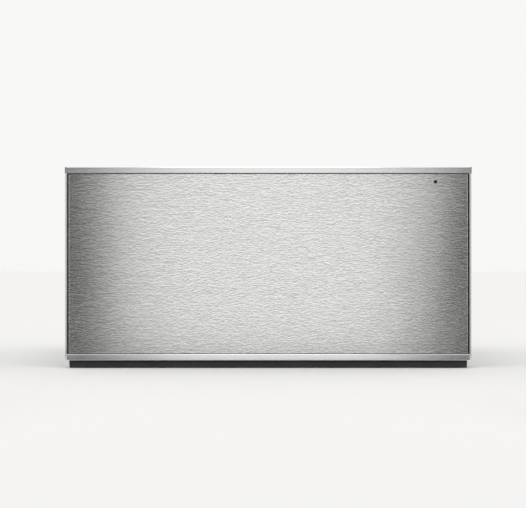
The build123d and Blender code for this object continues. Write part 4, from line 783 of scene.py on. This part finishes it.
def hexNut(shape, low, high, middle, bore):  # from y low to y high in mm, its outer corners rounded off
    outer, edge = gland["across"] / 2 / math.cos(math.pi / 6), gland["nutEdge"]
    loops, turns = [], [math.pi * step / 3 for step in range(6)]
    for radius, y in ((outer - edge, low), (outer, low + edge / 2), (outer, high - edge / 2),
                      (outer - edge, high), (bore, high), (bore, low)):
        loops.append([shape.verts.new((middle.x + radius * mm * math.sin(turn), y * mm,
                                       middle.z + radius * mm * math.cos(turn))) for turn in turns])
    for below, above in zip(loops, loops[1:] + loops[:1]):
        bridge(shape, below, above)


def glandPieces():
    low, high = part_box("cable_gland")
    middle = (low + high) / 2
    inner, outer, wall = low.y / mm, high.y / mm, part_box("rear_panel")[1].y / mm
    body, bore, slack = bmesh.new(), gland["bore"], gland["slack"]
    for nutStart in (inner, wall):
        hexNut(body, nutStart, nutStart + gland["nut"], middle, gland["barrel"] - gland["nutLap"])
    barrelStart, barrelEnd = inner + slack, wall + gland["barrelEnd"]
    turned(body, [(gland["barrel"], barrelStart, False), (gland["barrel"], barrelEnd, False),
                  (bore, barrelEnd, False), (bore, barrelStart, False)], middle)
    start, dome, rounding = wall + gland["nut"] - gland["domeSink"], gland["dome"], gland["domeRound"]
    profile = [(dome - gland["domeEdge"], start, False), (dome, start + gland["domeEdge"], True),
               (dome, outer - rounding, True)]
    profile += [(dome - rounding + rounding * math.cos(turn), outer - rounding + rounding * math.sin(turn),
                 turn < gland["gripUpTo"]) for turn in gland["domeTurns"]]
    profile += [(gland["ring"], outer, False), (gland["ring"], start, False)]
    turned(body, profile, middle)
    rubber, ringEnd = bmesh.new(), outer - gland["ringSink"]
    turned(rubber, [(gland["ring"] - slack, start, False), (gland["ring"] - slack, ringEnd, False),
                    (bore + gland["ringLip"], ringEnd, False), (bore, ringEnd - gland["ringLip"], False),
                    (bore, start, False)], middle)
    for shape in (body, rubber):
        bmesh.ops.recalc_face_normals(shape, faces=shape.faces)
    placePiece("glandBody", body, "casing", "black_plastic", ("cable_gland",))
    piece = placePiece("glandRing", rubber, "casing", "black_rubber", ("cable_gland",))
    piece.data.materials[0] = greySilicone


glandPieces()
print("cable gland made")

photo = {"width": 526, "centreX": 263.0, "centreY": 254.0}  # pixels
front = {"left": 64.5, "right": 472.0, "top": 167.0}  # where the photograph shows the front, in pixels
frontLow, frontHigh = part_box("frame_top_bar")
perPixel = (frontHigh.x - frontLow.x) / (front["right"] - front["left"])
studio = {
    "distance": 2.6,  # of the camera from the front
    "sensor": 36.0,
    "clipEnd": 60.0,
    "floorHalf": 14.0,
    "floorDrop": 0.0004,
    "floorColour": "#FBFAF9",
    "worldColour": "#FBFBFA",
    "skyLevel": 0.97,
    "cardColour": "#050505",
    "keyPower": 1.1,  # soft box overhead
    "keySize": (0.5, 0.8),
    "keyPlace": (0.0, -0.45, 1.6),
    "keyTarget": (0.0, -0.3, 0.3),
}


def cardRow(y, z, across, dense=(0.0, 0.5, 1.0, 1.0, 0.0)):
    return [(x, y, z, share) for x, share in zip(across, dense)]


# Dark cards with soft edges that only reflections see, each made of rows of corners: x, y, z and how dense
# it is there. Two hang behind the camera and run on along the floor towards the drawer, so that the brushed
# front falls off towards its ends and its bars do so more gently; two small ones beside the front darken the
# mitred ends of the bars; one lies before the foot.
farLeft, bandLeft = (-0.46, -0.53, -0.60, -0.78, -0.92), (-0.12, -0.35, -0.58, -0.78, -0.92)
farRight, bandRight = (0.56, 0.585, 0.61, 0.8, 0.94), (0.15, 0.34, 0.57, 0.8, 0.94)
gentleLeft, gentleRight = (0.0, 0.46, 0.8, 1.0, 0.0), (0.0, 0.3, 0.7, 1.0, 0.0)
faintLeft, faintRight = (0.0, 0.12, 0.35, 0.65, 0.0), (0.0, 0.1, 0.33, 0.6, 0.0)
besideCards = [[[(x, y, z, share) for y, share in ((-0.45, 0.0), (-0.38, 0.75), (-0.26, 0.75), (-0.19, 0.0))]
                for z in (0.0, 0.4)] for x in (-0.6, 0.6)]
cards = (
    (cardRow(-3.3, 3.0, farLeft), cardRow(-3.3, 0.52, farLeft), cardRow(-3.3, 0.49, bandLeft, gentleLeft),
     cardRow(-3.3, 0.39, bandLeft, gentleLeft), cardRow(-3.3, 0.36, farLeft),
     cardRow(-3.3, 0.002, (-0.45, -0.515, -0.58, -0.78, -0.92)),
     cardRow(-1.1, 0.002, (-0.22, -0.275, -0.33, -0.41, -0.51)),
     cardRow(-0.88, 0.002, (-0.16, -0.215, -0.27, -0.36, -0.47), (0.0, 0.3, 0.7, 1.0, 0.0)),
     cardRow(-0.76, 0.002, (-0.08, -0.16, -0.24, -0.32, -0.44), faintLeft),
     cardRow(-0.43, 0.002, (-0.06, -0.143, -0.221, -0.29, -0.4), faintLeft)),
    (cardRow(-3.3, 3.0, farRight), cardRow(-3.3, 0.52, farRight), cardRow(-3.3, 0.49, bandRight, gentleRight),
     cardRow(-3.3, 0.39, bandRight, gentleRight), cardRow(-3.3, 0.36, (0.55, 0.575, 0.60, 0.8, 0.94)),
     cardRow(-3.3, 0.002, (0.52, 0.545, 0.57, 0.8, 0.94)),
     cardRow(-1.1, 0.002, (0.21, 0.24, 0.27, 0.40, 0.52)),
     cardRow(-0.88, 0.002, (0.17, 0.205, 0.24, 0.36, 0.47), (0.0, 0.3, 0.8, 1.0, 0.0)),
     cardRow(-0.76, 0.002, (0.13, 0.195, 0.25, 0.34, 0.45), faintRight),
     cardRow(-0.43, 0.002, (0.1, 0.173, 0.24, 0.30, 0.4), faintRight)),
    *besideCards,
    [cardRow(y, 0.001, (-0.4, -0.29, -0.13, 0.15, 0.29, 0.4), dense) for y, dense in (
        (-0.31, (1.0,) * 6), (-0.395, (1.0,) * 6), (-0.43, (0.9, 0.9, 0.0, 0.0, 0.9, 0.9)),
        (-0.54, (0.0,) * 6))],
)


def areaLight(name, place, target, size, power):
    data = bpy.data.lights.new(name, "AREA")
    data.shape = "RECTANGLE"
    data.size, data.size_y = size
    data.energy = power
    light = bpy.data.objects.new(name, data)
    light.location = place
    light.visible_camera = False
    light.rotation_euler = (Vector(target) - Vector(place)).to_track_quat("-Z", "Y").to_euler()
    bpy.context.scene.collection.objects.link(light)


def makeFloor():
    mesh = bpy.data.meshes.new("floor")
    half = studio["floorHalf"]
    corners = [(-half, -half), (half, -half), (half, half), (-half, half)]
    mesh.from_pydata([(x, y, -studio["floorDrop"]) for x, y in corners], [], [(0, 1, 2, 3)])
    mesh.materials.append(newMaterial("floorPaper", {
        "Base Color": colour(studio["floorColour"]), "Roughness": 0.9, "Specular IOR Level": 0.1})[0])
    floor = bpy.data.objects.new("floor", mesh)
    bpy.context.scene.collection.objects.link(floor)


def makeCards():
    mesh = bpy.data.meshes.new("cards")
    corners, faces = [], []
    for rows in cards:
        for row, after in zip(rows, rows[1:]):
            for step in range(len(row) - 1):
                faces.append(tuple(range(len(corners), len(corners) + 4)))
                corners += [row[step], row[step + 1], after[step + 1], after[step]]
    mesh.from_pydata([corner[:3] for corner in corners], [], faces)
    dense = mesh.attributes.new("dense", "FLOAT", "POINT")
    for at, corner in enumerate(corners):
        dense.data[at].value = corner[3]
    material, tree, shader = newMaterial("cardBlack", {
        "Base Color": colour(studio["cardColour"]), "Roughness": 1.0, "Specular IOR Level": 0.0})
    read = addNode(tree, "ShaderNodeAttribute", {"attribute_name": "dense"})
    tree.links.new(read.outputs["Fac"], shader.inputs["Alpha"])
    mesh.materials.append(material)
    card = bpy.data.objects.new("cards", mesh)
    card.visible_camera = card.visible_diffuse = card.visible_shadow = card.visible_transmission = False
    bpy.context.scene.collection.objects.link(card)


def makeWorld():
    world = bpy.data.worlds.new("studio")
    world.use_nodes = True
    tree = world.node_tree
    tree.nodes["Background"].inputs["Color"].default_value = colour(studio["worldColour"])
    tree.nodes["Background"].inputs["Strength"].default_value = studio["skyLevel"]
    bpy.context.scene.world = world


def makeCamera():
    data = bpy.data.cameras.new("camera")
    data.sensor_width = studio["sensor"]
    data.sensor_fit = "HORIZONTAL"
    data.lens = studio["sensor"] * studio["distance"] / (photo["width"] * perPixel)
    data.clip_end = studio["clipEnd"]
    camera = bpy.data.objects.new("camera", data)
    middleX = (front["left"] + front["right"]) / 2
    x = (frontLow.x + frontHigh.x) / 2 + (photo["centreX"] - middleX) * perPixel
    z = frontHigh.z - (photo["centreY"] - front["top"]) * perPixel
    camera.location = (x, frontLow.y - studio["distance"], z)
    camera.rotation_euler = (math.pi / 2, 0, 0)
    bpy.context.scene.collection.objects.link(camera)
    bpy.context.scene.camera = camera


bpy.context.scene.view_settings.view_transform = "Standard"
makeFloor()
makeCards()
makeWorld()
areaLight("softBox", studio["keyPlace"], studio["keyTarget"], studio["keySize"], studio["keyPower"])
makeCamera()
print("studio set")
